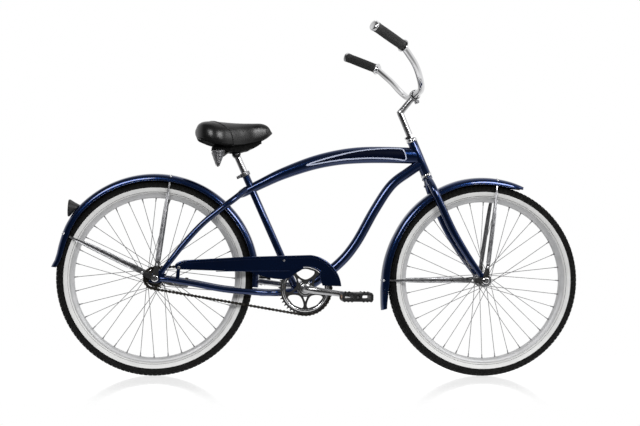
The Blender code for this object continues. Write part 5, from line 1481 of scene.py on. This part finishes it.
def rim(word, axle, metal):
    """A steel rim: a rolled channel with a raised well between its spoke shoulders."""
    wide = RIM_HALF_WIDTH
    profile = [(-wide + 0.0016, RIM_RADIUS + 0.0006), (-wide, RIM_RADIUS - 0.0002),
               (-wide + 0.0002, RIM_RADIUS - 0.0035), (-wide * 0.86, 0.2790), (-wide * 0.72, 0.2735),
               (-wide * 0.50, RIM_INNER_RADIUS), (-wide * 0.28, RIM_INNER_RADIUS + 0.0002),
               (-wide * 0.12, RIM_INNER_RADIUS + 0.0012)]
    outer = profile + [(-y, r) for y, r in profile[::-1]]
    inner = [(wide - 0.0022, RIM_RADIUS + 0.0004), (wide * 0.70, 0.2795), (0, RIM_INNER_RADIUS + 0.0038),
             (-wide * 0.70, 0.2795), (-wide + 0.0022, RIM_RADIUS + 0.0004)]
    shape = turned(outer + inner, axle, ACROSS, TYRE_STEPS)
    piece(word + "_rim_hoop", shape, metal, word + "_wheel", [word + "_rim"], radians(50))


def spokes_of(axle, flanges):
    """The laced spokes of both flanges, with their heads and nipples."""
    wires, nipples = [], []
    for flange_y, hole_radius in flanges:
        hub_side = 1 if flange_y > 0 else -1
        for number in range(SPOKES_PER_FLANGE):
            outward = 1 if number % 2 == 0 else -1
            angle = 2 * pi * number / SPOKES_PER_FLANGE
            angle += pi / SPOKES_PER_FLANGE if hub_side < 0 else 0
            hole = axle + flat(angle, hole_radius)
            bend = hole + ACROSS * (flange_y + hub_side * SPOKE_ELBOWS[outward])
            far = hole + ACROSS * (flange_y - hub_side * outward * SPOKE_HEAD_OUT)
            tip = axle + flat(angle + outward * SPOKE_LEAD, RIM_INNER_RADIUS)
            tip += ACROSS * hub_side * NIPPLE_SIDE
            run = (tip - bend).normalized()
            rows = [far, hole + ACROSS * flange_y, bend.lerp(hole + ACROSS * flange_y, 0.35),
                    bend + run * 0.0012, bend + run * 0.006, tip - run * 0.004]
            wires.append(wire(rows, SPOKE_RADIUS, 8, flat(angle)))
            wires.append(rod(far, (far - bend).normalized(), 0.0019, 0.0008, 10))
            nipples.append(turned([(-0.0125, 0.0014), (-0.0118, 0.0018), (-0.0040, 0.0019),
                                   (-0.0022, 0.0026), (0.0012, 0.0028)], tip, run, 10, closed=False))
    return gather(wires), gather(nipples)


def wheel_centre(word, axle, profile, flanges, shell_metal, wire_metal):
    """A hub shell with its laced spokes, which stand for the hub's node together."""
    shell = turned(rounded(profile, 0.0008), axle, ACROSS, 72)
    piece(word + "_hub_shell", shell, shell_metal, word + "_wheel", [word + "_hub"])
    wires, nipples = spokes_of(axle, flanges)
    piece(word + "_spokes", wires, wire_metal, word + "_wheel")
    piece(word + "_nipples", nipples, wire_metal, word + "_wheel")


def hubs(shell_metal, wire_metal):
    half = [(0.0365, 0.0064), (0.0365, 0.0120), (0.0345, 0.0135), (0.0335, 0.0150), (0.0322, 0.0250),
            (0.0298, 0.0250), (0.0288, 0.0170), (0.0240, 0.0132), (0.0080, 0.0118)]
    profile = [(-y, r) for y, r in half] + half[::-1]
    wheel_centre("front", FRONT_AXLE, profile, ((-0.031, 0.0205), (0.031, 0.0205)), shell_metal, wire_metal)
    profile = [(-0.0310, 0.0188), (-0.0310, 0.0235), (-0.0275, 0.0245), (-0.0267, 0.0300), (-0.0243, 0.0300),
               (-0.0228, 0.0262), (-0.0180, 0.0256), (0.0210, 0.0256), (0.0258, 0.0270), (0.0273, 0.0340),
               (0.0297, 0.0340), (0.0310, 0.0290), (0.0340, 0.0282), (0.0395, 0.0270), (0.0410, 0.0240),
               (0.0410, 0.0100), (0.0300, 0.0215), (-0.0230, 0.0215)]
    flanges = ((-0.0255, 0.0275), (0.0285, 0.0312))
    wheel_centre("rear", REAR_AXLE, profile, flanges, shell_metal, wire_metal)


# The chain drive.

LINK_SHEET = 0.0011
LINK_LIFTS = (0.00185, 0.0030)
LINK_HALF_HEIGHT = 0.0050
LINK_HALF_WAIST = 0.0024
LINK_WRAP = radians(115)
ROLLER_RADIUS = 0.0038
ROLLER_ROOM = 0.00395
PIN_RADIUS = 0.0017
SPROCKET_HALF_SHEET = 0.0015
BOSS_HALF_WIDTH = 0.0024
RING_RADIUS = CHAIN_PITCH * RING_TEETH / (2 * pi)
COG_RADIUS = CHAIN_PITCH * COG_TEETH / (2 * pi)


def drive_layout():
    """Places of the chain's pins, and the angle of each sprocket's first gap."""
    ring_centre, cog_centre = Vector((BRACKET_AHEAD, BRACKET_HEIGHT)), Vector((0, TYRE_RADIUS))
    apart = ring_centre - cog_centre
    lean = atan2(apart.y, apart.x)
    spread = asin((RING_RADIUS - COG_RADIUS) / apart.length)
    top, low = lean + pi / 2 + spread, lean - pi / 2 - spread
    straight = apart.length * cos(spread)
    ring_arc, cog_arc = RING_RADIUS * (top - low), COG_RADIUS * (2 * pi - (top - low))

    def on_ring(angle):
        return ring_centre + RING_RADIUS * Vector((cos(angle), sin(angle)))

    def on_cog(angle):
        return cog_centre + COG_RADIUS * Vector((cos(angle), sin(angle)))

    pins, cog_gap = [], 0.0
    for k in range(CHAIN_LINKS):
        run = k * CHAIN_PITCH
        if run < ring_arc:
            pins.append(on_ring(top - run / RING_RADIUS))
        elif run < ring_arc + straight:
            pins.append(on_ring(low).lerp(on_cog(low), (run - ring_arc) / straight))
        elif run < ring_arc + straight + cog_arc:
            cog_gap = low - (run - ring_arc - straight) / COG_RADIUS
            pins.append(on_cog(cog_gap))
        else:
            pins.append(on_cog(top).lerp(on_ring(top), (run - ring_arc - straight - cog_arc) / straight))
    return pins, top, cog_gap


CHAIN_PINS, RING_GAP, COG_GAP = drive_layout()


def link_outline(one, two):
    """The edge of a link plate: round ends about both pins and a drawn-in waist."""
    lean = atan2(two[1] - one[1], two[0] - one[0])
    middle = ((one[0] + two[0]) / 2, (one[1] + two[1]) / 2)
    up = (-sin(lean), cos(lean))
    points = []
    for pin, turn, side in ((two, lean, 1), (one, lean + pi, -1)):
        points += around(pin, turn - LINK_WRAP, turn + LINK_WRAP, LINK_HALF_HEIGHT, 9)
        waist = side * LINK_HALF_WAIST
        points.append((middle[0] + up[0] * waist, middle[1] + up[1] * waist))
    return points


def chain(metal):
    """Wide and narrow links in turn, with their rollers and riveted pins."""
    shapes = []
    for k, pin in enumerate(CHAIN_PINS):
        following = CHAIN_PINS[(k + 1) % CHAIN_LINKS]
        lift = LINK_LIFTS[k % 2]
        outline = link_outline(pin, following)
        for low in (-lift - LINK_SHEET, lift):
            shapes.append(plate(outline, CHAIN_Y + low, CHAIN_Y + low + LINK_SHEET))
        place = at(pin.x, CHAIN_Y, pin.y)
        shapes.append(crossbar(place, ROLLER_RADIUS, 0.0018, 14))
        shapes.append(crossbar(place, PIN_RADIUS, 0.0046, 10, 0.0003))
    piece("roller_chain", gather(shapes), metal, "frame_body", ["chain"])


def toothed(centre, teeth, radius, first_gap):
    """The edge of a sprocket: round gaps for the rollers and short pointed teeth between."""
    step = 2 * pi / teeth
    points = []
    for k in range(teeth):
        gap = first_gap + k * step
        seat = Vector((centre[0] + radius * cos(gap), centre[1] + radius * sin(gap)))
        for n in range(5):
            a = gap + pi + radians(60) * (1 - n / 2)
            points.append((seat.x + ROLLER_ROOM * cos(a), seat.y + ROLLER_ROOM * sin(a)))
        for share, lift in ((0.40, 0.0028), (0.5, 0.0041), (0.60, 0.0028)):
            a, r = gap + step * share, radius + lift
            points.append((centre[0] + r * cos(a), centre[1] + r * sin(a)))
    return points


def polar(centre, rows, turn):
    """Points from rows of (degrees from a direction, radius)."""
    return [(centre[0] + r * cos(turn + radians(a)), centre[1] + r * sin(turn + radians(a)))
            for a, r in rows]


def chainring(metal):
    """The toothed ring on five forked arms, with a rolled bead inside its teeth."""
    centre = (BRACKET_AHEAD, BRACKET_HEIGHT)
    window = [(-28, 0.0675), (0, 0.0690), (28, 0.0675), (31, 0.0580), (25, 0.0425), (0, 0.0300),
              (-25, 0.0425), (-31, 0.0580)]
    fork_hole = [(0, 0.0445), (15, 0.0275), (-15, 0.0275)]
    holes = [full_circle(centre, 0.0125, 32)]
    for k in range(5):
        arm = radians(-90) + 2 * pi * k / 5
        holes.append(rounded(polar(centre, window, arm + pi / 5), 0.010, 4))
        holes.append(rounded(polar(centre, fork_hole, arm), 0.0035))
    edge = toothed(centre, RING_TEETH, RING_RADIUS, RING_GAP)
    flat_ring = plate(edge, CHAIN_Y - SPROCKET_HALF_SHEET, CHAIN_Y + SPROCKET_HALF_SHEET, holes)
    hoop = [(BRACKET + ACROSS * CHAIN_Y + flat(2 * pi * k / 96, 0.0757), 0.0041, 0.0034) for k in range(96)]
    bead = sweep(hoop, 14, flat(0), closed=True)
    low, high = CHAIN_Y - BOSS_HALF_WIDTH, CHAIN_Y + BOSS_HALF_WIDTH
    boss = turned(rounded([(low, 0.0125), (low, 0.0235), (high, 0.0235), (high, 0.0125)], 0.0008),
                  BRACKET, ACROSS)
    piece("toothed_ring", gather([flat_ring, bead, boss]), metal, "crankset", ["chainring"])


def rear_cog(metal, plastic):
    """The rear sprocket with its crescent windows, on the driver, and the black dust cap."""
    centre = (0, TYRE_RADIUS)
    windows = []
    for k in range(4):
        middle = radians(237) + k * pi / 2
        arc = around(centre, middle - radians(30), middle + radians(30), 0.0310, 12)
        arc += around(centre, middle + radians(30), middle - radians(30), 0.0262, 12)
        windows.append(rounded(arc, 0.002, 2))
    edge = toothed(centre, COG_TEETH, COG_RADIUS, COG_GAP)
    disc = plate(edge, CHAIN_Y - SPROCKET_HALF_SHEET, CHAIN_Y + SPROCKET_HALF_SHEET,
                 [full_circle(centre, 0.0100), *windows])
    driver = turned(rounded([(-0.0450, 0.0070), (-0.0450, 0.0165), (-0.0430, 0.0172), (-0.0160, 0.0172),
                             (-0.0160, 0.0070)], 0.0008), REAR_AXLE, ACROSS)
    piece("sprocket", gather([disc, driver]), metal, "driver", ["rear_cog"])
    cap = turned(rounded([(-0.0462, 0.0090), (-0.0462, 0.0185), (-0.0448, 0.0205), (-0.0436, 0.0208),
                          (-0.0436, 0.0090)], 0.0006), REAR_AXLE, ACROSS)
    piece("driver_dust_cap", cap, plastic, "driver")


def crank(metal):
    """The one-piece crank, with its cones' nuts and an eye at each end."""
    spindle = [(-0.0480, 0.0165), (-0.0474, 0.0174), (-0.0434, 0.0175), (-0.0428, 0.0170),
               (-0.0428, 0.0118), (0.0400, 0.0118), (0.0400, 0.0160), (0.0405, 0.0165), (0.0435, 0.0165),
               (0.0440, 0.0160)]
    rows = [(0.0000, 0.0432, 0.0118, 0.0118), (0.0020, 0.0500, 0.0122, 0.0122),
            (0.0130, 0.0590, 0.0126, 0.0105), (0.0320, 0.0668, 0.0122, 0.0080),
            (0.0560, 0.0718, 0.0112, 0.0062), (0.0950, 0.0745, 0.0100, 0.0058),
            (0.1540, 0.0772, 0.0105, 0.0058), (0.1590, 0.0773, 0.0122, 0.0061)]
    eye = [(0.0713, 0.0078), (0.0713, 0.0112), (0.0722, 0.0124), (0.0740, 0.0128), (0.0810, 0.0128),
           (0.0828, 0.0124), (0.0837, 0.0112), (0.0837, 0.0078)]
    shapes = [turned(spindle, BRACKET, ACROSS, closed=False)]
    for _, sign in SIDES:
        path = [(BRACKET + flat(CRANK_ANGLE, -sign * reach) + ACROSS * sign * side, wide, high)
                for reach, side, wide, high in smooth(rows, 6)]
        shapes.append(sweep(path, 32, flat(CRANK_ANGLE + pi / 2)))
        shapes.append(turned(eye, at_pedal(sign), ACROSS * sign, 40))
    piece("one_piece_crank", gather(shapes), metal, "crankset", ["crank"])


# The pedals.

PEDAL_INNER = 0.0945
PEDAL_OUTER = 0.1885
PEDAL_HALF_LENGTH = 0.0520
PEDAL_HALF_HEIGHT = 0.0135
PEDAL_TOOTH = 0.0024
PEDAL_CROWN = 0.0010


def pedal_outline():
    """The pedal's edge in the side view, about its spindle, with three teeth at each end."""
    top = []
    for tooth in (-0.0445, -0.0320, -0.0195, 0.0195, 0.0320, 0.0445):
        for along, tall in ((-0.0042, 0), (-0.0020, 0.72), (0, 1), (0.0020, 0.72), (0.0042, 0)):
            x = tooth + along
            crown = PEDAL_CROWN * (1 - (x / PEDAL_HALF_LENGTH) ** 2)
            top.append((x, PEDAL_HALF_HEIGHT + crown + tall * PEDAL_TOOTH))
    end = [(PEDAL_HALF_LENGTH, 0.0080), (PEDAL_HALF_LENGTH, -0.0080)]
    return top + end + [(-x, -z) for x, z in top + end]


def pedal(word, sign, plastic, amber, metal):
    """A moulded platform pedal: two rails and a middle bar between toothed cheeks."""
    centre = at_pedal(sign)
    base = (centre.x + ORIGIN_AHEAD, centre.z)
    outline = [(base[0] + x, base[1] + z) for x, z in pedal_outline()]
    low, high = span(sign, PEDAL_INNER, PEDAL_OUTER)
    middle = centre + ACROSS * (low + high) / 2
    cuts, lenses = [rod(centre + ACROSS * (low - 0.01), ACROSS, 0.0072, 0.12, 28)], []
    slot = rounded([(-0.0140, -0.0066), (0.0140, -0.0066), (0.0140, 0.0066), (-0.0140, 0.0066)], 0.0030, 4)
    for side in (-1, 1):
        spot = middle + AHEAD * side * 0.0290
        cuts.append(block(spot, (0.0260, 0.0720, 0.06)))
        cuts.append(plate([(spot.x + ORIGIN_AHEAD + x, spot.z + z) for x, z in slot],
                          middle.y - 0.06, middle.y + 0.06))
        cuts.append(block(middle + AHEAD * side * PEDAL_HALF_LENGTH, (0.0050, 0.0560, 0.0130)))
        lenses.append(block(middle + AHEAD * side * (PEDAL_HALF_LENGTH - 0.0019), (0.0016, 0.0340, 0.0096),
                            0.0004))
    body = ease(combine(plate(outline, low, high), cuts, "DIFFERENCE"), 0.0005, 1, radians(50))
    rides_on = word + "_pedal"
    piece("pedal_body_" + word, body, plastic, rides_on, ["pedal_" + word])
    piece("pedal_reflectors_" + word, gather(lenses), amber, rides_on)
    profile = [(0.0705, 0.0066), (0.0845, 0.0066), (0.0845, 0.0088), (0.0850, 0.0092), (0.0935, 0.0092),
               (0.0940, 0.0088), (0.0940, 0.0058), (0.1840, 0.0052)]
    spindle = turned(profile, centre, ACROSS * sign, 32, closed=False)
    piece("pedal_axle_" + word, spindle, metal, "crankset", ["pedal_spindle_" + word])


# The saddle.

# The cover, from its rear to its nose: rows of (ahead, half width, top, edge).
SADDLE = [
    (0.1335, 0.0560, 0.8440, 0.8200), (0.1400, 0.0850, 0.8560, 0.8080),
    (0.1560, 0.1060, 0.8650, 0.8010), (0.1850, 0.1180, 0.8675, 0.7915),
    (0.2200, 0.1130, 0.8655, 0.7850), (0.2550, 0.0920, 0.8640, 0.7840),
    (0.2900, 0.0660, 0.8640, 0.7880), (0.3250, 0.0470, 0.8650, 0.7960),
    (0.3560, 0.0370, 0.8650, 0.8060), (0.3780, 0.0290, 0.8560, 0.8180),
    (0.3910, 0.0160, 0.8370, 0.8290),
]
# The section's rows of (share of the half width, share of the rise), from the underside's
# middle out to the skirt and up over the top.
SADDLE_SECTION = [(0.0, 0.30), (0.45, 0.16), (0.80, 0.05), (0.93, 0.0), (0.99, 0.10), (1.0, 0.28),
                  (0.965, 0.58), (0.88, 0.80), (0.72, 0.94), (0.48, 0.985), (0.22, 0.975), (0.0, 0.962)]
SADDLE_UNDERSIDE = 0.812
# The seam round the rear panel, in rows of (ahead, turn): a turn of 3 is the skirt's foot and
# 11 the crown, as the section's rows count.
SADDLE_SEAM = [(0.2560, 3.1), (0.2580, 4.2), (0.2545, 5.4), (0.2420, 6.4), (0.2170, 7.4), (0.1900, 8.6),
               (0.1730, 9.8), (0.1680, 11.0)]
STITCH_SHIFT = 0.0045


def saddle_ring(wide, top, edge, steps=4):
    """Points of (side, height) of half a section, from the underside's middle to the crown."""
    return [(wide * u, edge + (top - edge) * v) for u, v in smooth(SADDLE_SECTION, steps)]


def on_saddle(ahead, turn, sign):
    """A point of the cover by its distance ahead and its turn round the section."""
    line = saddle_ring(*row_at(smooth(SADDLE, 6), ahead)[1:], steps=8)
    y, z = line[min(round(turn * 8), len(line) - 1)]
    return at(ahead, sign * y, z)


def saddle_cover(leather, under, sewing):
    """The padded cover as one crowned body, with piping and stitches round its rear panel."""
    shape = bmesh.new()
    rings = []
    for ahead, wide, top, edge in smooth(SADDLE, 6):
        half = saddle_ring(wide, top, edge)
        loop = half + [(-y, z) for y, z in half[::-1][1:-1]]
        rings.append([shape.verts.new(at(ahead, y, z)) for y, z in loop])
    skin(shape, rings)
    for one, nudge in ((rings[0], -0.004), (rings[-1], 0.003)):
        centre = sum((v.co for v in one), Vector()) / len(one)
        inner = [shape.verts.new(centre.lerp(v.co, 0.55) + AHEAD * nudge * 0.8) for v in one]
        tip = shape.verts.new(centre + AHEAD * nudge)
        skin(shape, [one, inner])
        for k in range(len(inner)):
            shape.faces.new((inner[k], inner[(k + 1) % len(inner)], tip))
    bmesh.ops.recalc_face_normals(shape, faces=shape.faces)
    for face in shape.faces:
        low = face.calc_center_median().z < SADDLE_UNDERSIDE
        face.material_index = 1 if low and face.normal.z < -0.35 else 0
    made = piece("saddle_top_cover", shape, [leather, under], "saddle_top",
                 ["saddle_cover"], radians(75))
    piping, stitches = [], []
    seam = smooth(SADDLE_SEAM, 8)
    for _, sign in SIDES:
        piping.append(wire([on_saddle(*row, sign) for row in seam], 0.0017, 10, AHEAD))
        for shift in (-STITCH_SHIFT, STITCH_SHIFT):
            line = [on_saddle(ahead + shift, turn, sign) for ahead, turn in seam]
            for one, two in zip(line[::2], line[1::2]):
                stitches.append(wire([one, one.lerp(two, 0.72)], 0.0004, 6, AHEAD))
    piece("saddle_piping", gather(piping), leather, "saddle_top")
    piece("saddle_stitches", gather(stitches), sewing, "saddle_top")


# The pan's hanging skirt: rows of (ahead, half width, top, foot), from a spring to the nose.
PAN_SKIRT = [
    (0.2290, 0.0700, 0.7890, 0.7690), (0.2450, 0.0640, 0.7880, 0.7650), (0.2700, 0.0530, 0.7890, 0.7640),
    (0.2950, 0.0430, 0.7920, 0.7680), (0.3200, 0.0330, 0.7985, 0.7770), (0.3420, 0.0230, 0.8050, 0.7880),
    (0.3530, 0.0110, 0.8080, 0.7960),
]
SKIRT_HALF_SHEET = 0.0010
PAN_SHEET = 0.0035


def pan_skirt():
    """A thin wall under the pan that joins round the nose."""
    half = smooth(PAN_SKIRT, 4)
    rows = [*half, (half[-1][0] + 0.0035, 0, half[-1][2], half[-1][3])]
    rows += [(x, -y, top, foot) for x, y, top, foot in half[::-1]]
    faces = []
    for k, (x, y, top, foot) in enumerate(rows):
        before, after = rows[max(k - 1, 0)], rows[min(k + 1, len(rows) - 1)]
        run = Vector((after[0] - before[0], after[1] - before[1], 0)).normalized()
        side = Vector((run.y, -run.x, 0)) * SKIRT_HALF_SHEET
        faces.append([at(x, y, z) + side * s for s, z in ((1, top), (1, foot), (-1, foot), (-1, top))])
    return loft(faces)


def saddle_pan(black):
    """The arched pan under the cover, its nose hook and the domed caps of the springs."""
    faces = []
    for ahead, wide, _, edge in smooth(SADDLE[2:9], 4):
        arch = smooth([(wide * 0.78 * u, edge + rise) for u, rise in
                       ((1, 0.0025), (0.5, 0.0080), (0, 0.0090), (-0.5, 0.0080), (-1, 0.0025))], 3)
        loop = arch + [[y, z - PAN_SHEET] for y, z in arch[::-1]]
        faces.append([at(ahead, y, z) for y, z in loop])
    shapes = [sheet_of(faces), pan_skirt()]
    profile = rounded([(0, 0.0002), (0, 0.0235), (0.0060, 0.0235), (0.0125, 0.0170), (0.0190, 0.0110),
                       (0.0190, 0.0002)], 0.0025, 4, closed=False)
    for _, sign in SIDES:
        place = at(SPRING_PLACE[0], sign * SPRING_PLACE[1], SPRING_TOP + 0.0010)
        shapes.append(turned(profile, place, UP, 40, closed=False))
    shapes.append(block(at(0.3540, 0, 0.8040), (0.0060, 0.0240, 0.0150), 0.001))
    piece("saddle_base_pan", gather(shapes), black, "saddle_top", ["saddle_pan"])


def saddle_clamp(enamel, metal):
    """The round clamp on the post's head, with a groove for each rail and a nut at each end."""
    clamp = crossbar(SADDLE_PIVOT, CLAMP_RADIUS, 0.029, 44, 0.0012)
    grooves = [block(SADDLE_PIVOT + Vector((0, sign * 0.0215, 0.0155)), (0.04, 0.0074, 0.0180))
               for _, sign in SIDES]
    nuts = [hexagon_head(SADDLE_PIVOT + ACROSS * sign * 0.0288, ACROSS * sign, 0.0125, 0.0062)
            for _, sign in SIDES]
    clamp = combine(clamp, grooves, "DIFFERENCE")
    piece("rail_clamp", clamp, enamel, "saddle_base", ["saddle_clamp"])
    piece("rail_clamp_nuts", gather(nuts), metal, "saddle_base")


def saddle_rails(enamel):
    """One bent wire: up from each spring's foot, along the clamp and into the nose."""
    h = SADDLE_PIVOT.z + 0.0105
    y = SPRING_PLACE[1]
    foot = SPRING_BOTTOM - RAIL_RADIUS - 0.0012
    half = [
        (0.2090, y, foot + 0.0020), (0.2090, y, foot + 0.0120), (0.2105, 0.0575, foot + 0.0240),
        (0.2180, 0.0550, foot + 0.0345), (0.2290, 0.0480, foot + 0.0405), (0.2400, 0.0360, h - 0.0060),
        (0.2490, 0.0250, h - 0.0010), (0.2600, 0.0215, h), (0.2900, 0.0215, h), (0.3080, 0.0215, h + 0.0025),
        (0.3240, 0.0205, h + 0.0130), (0.3360, 0.0165, h + 0.0220), (0.3440, 0.0090, h + 0.0275),
    ]
    rows = smooth(half + [(x, -side, z) for x, side, z in half[::-1]], 5)
    rails = wire([at(*row) for row in rows], RAIL_RADIUS, 16, UP)
    piece("wire_rails", rails, enamel, "saddle_base", ["saddle_rails"])


def saddle_springs(metal):
    """The two cone springs, wound from a narrow foot up to a wide top, each on a mesh of its own."""
    steps = SPRING_CURLS * SPRING_STEPS
    rise = SPRING_TOP - SPRING_BOTTOM - 2 * SPRING_WIRE
    for word, sign in SIDES:
        centre = at(SPRING_PLACE[0], sign * SPRING_PLACE[1], 0)
        path = []
        for k in range(steps + 1):
            t = k / steps
            angle = 2 * pi * SPRING_CURLS * t
            reach = SPRING_NARROW + (SPRING_WIDE - SPRING_NARROW) * t
            height = SPRING_BOTTOM + SPRING_WIRE + rise * t
            path.append(centre + Vector((reach * cos(angle), reach * sin(angle), height)))
        spring = piece("cone_spring_" + word, wire(path, SPRING_WIRE, 12, UP), metal, "saddle_base",
                       ["saddle_spring_" + word])
        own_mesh(spring)


def seatpost(metal):
    """The post, with a hollow in its top where the saddle clamp rolls."""
    length = 0.215
    shape = rod(SADDLE_PIVOT - SEAT_UP * length, SEAT_UP, SEATPOST_RADIUS, length - 0.001, 40, 0.0008)
    cradle = crossbar(SADDLE_PIVOT, CLAMP_RADIUS + 0.0002, 0.03, 44)
    piece("seat_pillar", combine(shape, [cradle], "DIFFERENCE"), metal, "seatpost_body",
          ["seatpost"])


# The whole bicycle.


def build():
    camera()
    studio()
    paint, stripe_colour, bright, plated = navy_paint(), stripe_paint(), chrome(), plated_steel()
    oiled, rim_grey, wire = oiled_steel(), rim_metal(), spoke_metal()
    rubber, white, grip = tyre_rubber(), whitewall_rubber(), grip_rubber()
    plastic, enamel, leather, sewing = moulded_plastic(), black_enamel(), vinyl(), thread()
    red, amber, under, satin = red_plastic(), amber_plastic(), matt_black(), satin_chrome()

    frame_tubes(paint)
    stripe(stripe_colour, dark_paint())
    headset(bright)
    bracket_cups(plated)
    seat_collar(plated)
    fender("rear_mudguard", "rear_fender", REAR_AXLE, REAR_FENDER, "frame_body", paint)
    fender("front_mudguard", "front_fender", FRONT_AXLE, FRONT_FENDER, "fork_body", paint)
    for place, axle, rows, foot, body, angles in (
            ("rear", REAR_AXLE, REAR_FENDER, 0.0641, "frame_body", (82, 154.5)),
            ("front", FRONT_AXLE, FRONT_FENDER, 0.0571, "fork_body", (82.5, 180.5))):
        for which, angle in zip(("upper", "back"), angles):
            stay(f"{place}_stay_{which}", axle, rows, angle, foot, body, plated, bright)
        for word, sign in SIDES:
            stay_lug(word, place, axle, angles, foot - 0.0038, sign, body, plastic, bright)
            axle_nut(word, place, axle, foot - 0.0008, sign, body, bright)
    axle_rod("rear", REAR_AXLE, 0.078, ((-0.0547, -0.0455), (0.0480, 0.0547)), "frame_body", plated)
    axle_rod("front", FRONT_AXLE, 0.069, ((-0.0477, -0.0370), (0.0370, 0.0477)), "fork_body", plated)
    reflector(plastic, red)
    chain_guard(paint, plated)
    guard_bracket(plastic)
    brake_arm(bright, plastic)
    fork(paint, bright)
    head_locknut(bright)
    stem(satin, plated)
    handlebar(bright)
    grips(grip, bright)
    for word, axle in (("front", FRONT_AXLE), ("rear", REAR_AXLE)):
        tyre(word, axle, rubber, white)
        rim(word, axle, rim_grey)
    hubs(bright, wire)
    chain(oiled)
    chainring(bright)
    rear_cog(oiled, plastic)
    crank(satin)
    for word, sign in SIDES:
        pedal(word, sign, plastic, amber, plated)
    saddle_cover(leather, under, sewing)
    saddle_pan(under)
    saddle_clamp(enamel, plated)
    saddle_rails(enamel)
    saddle_springs(plated)
    seatpost(satin)
    for name, material in (("brake_shoes", plated), ("stem_expander", plated)):
        node = frame["nodes"][name]
        node.data.materials.clear()
        node.data.materials.append(material)


build()
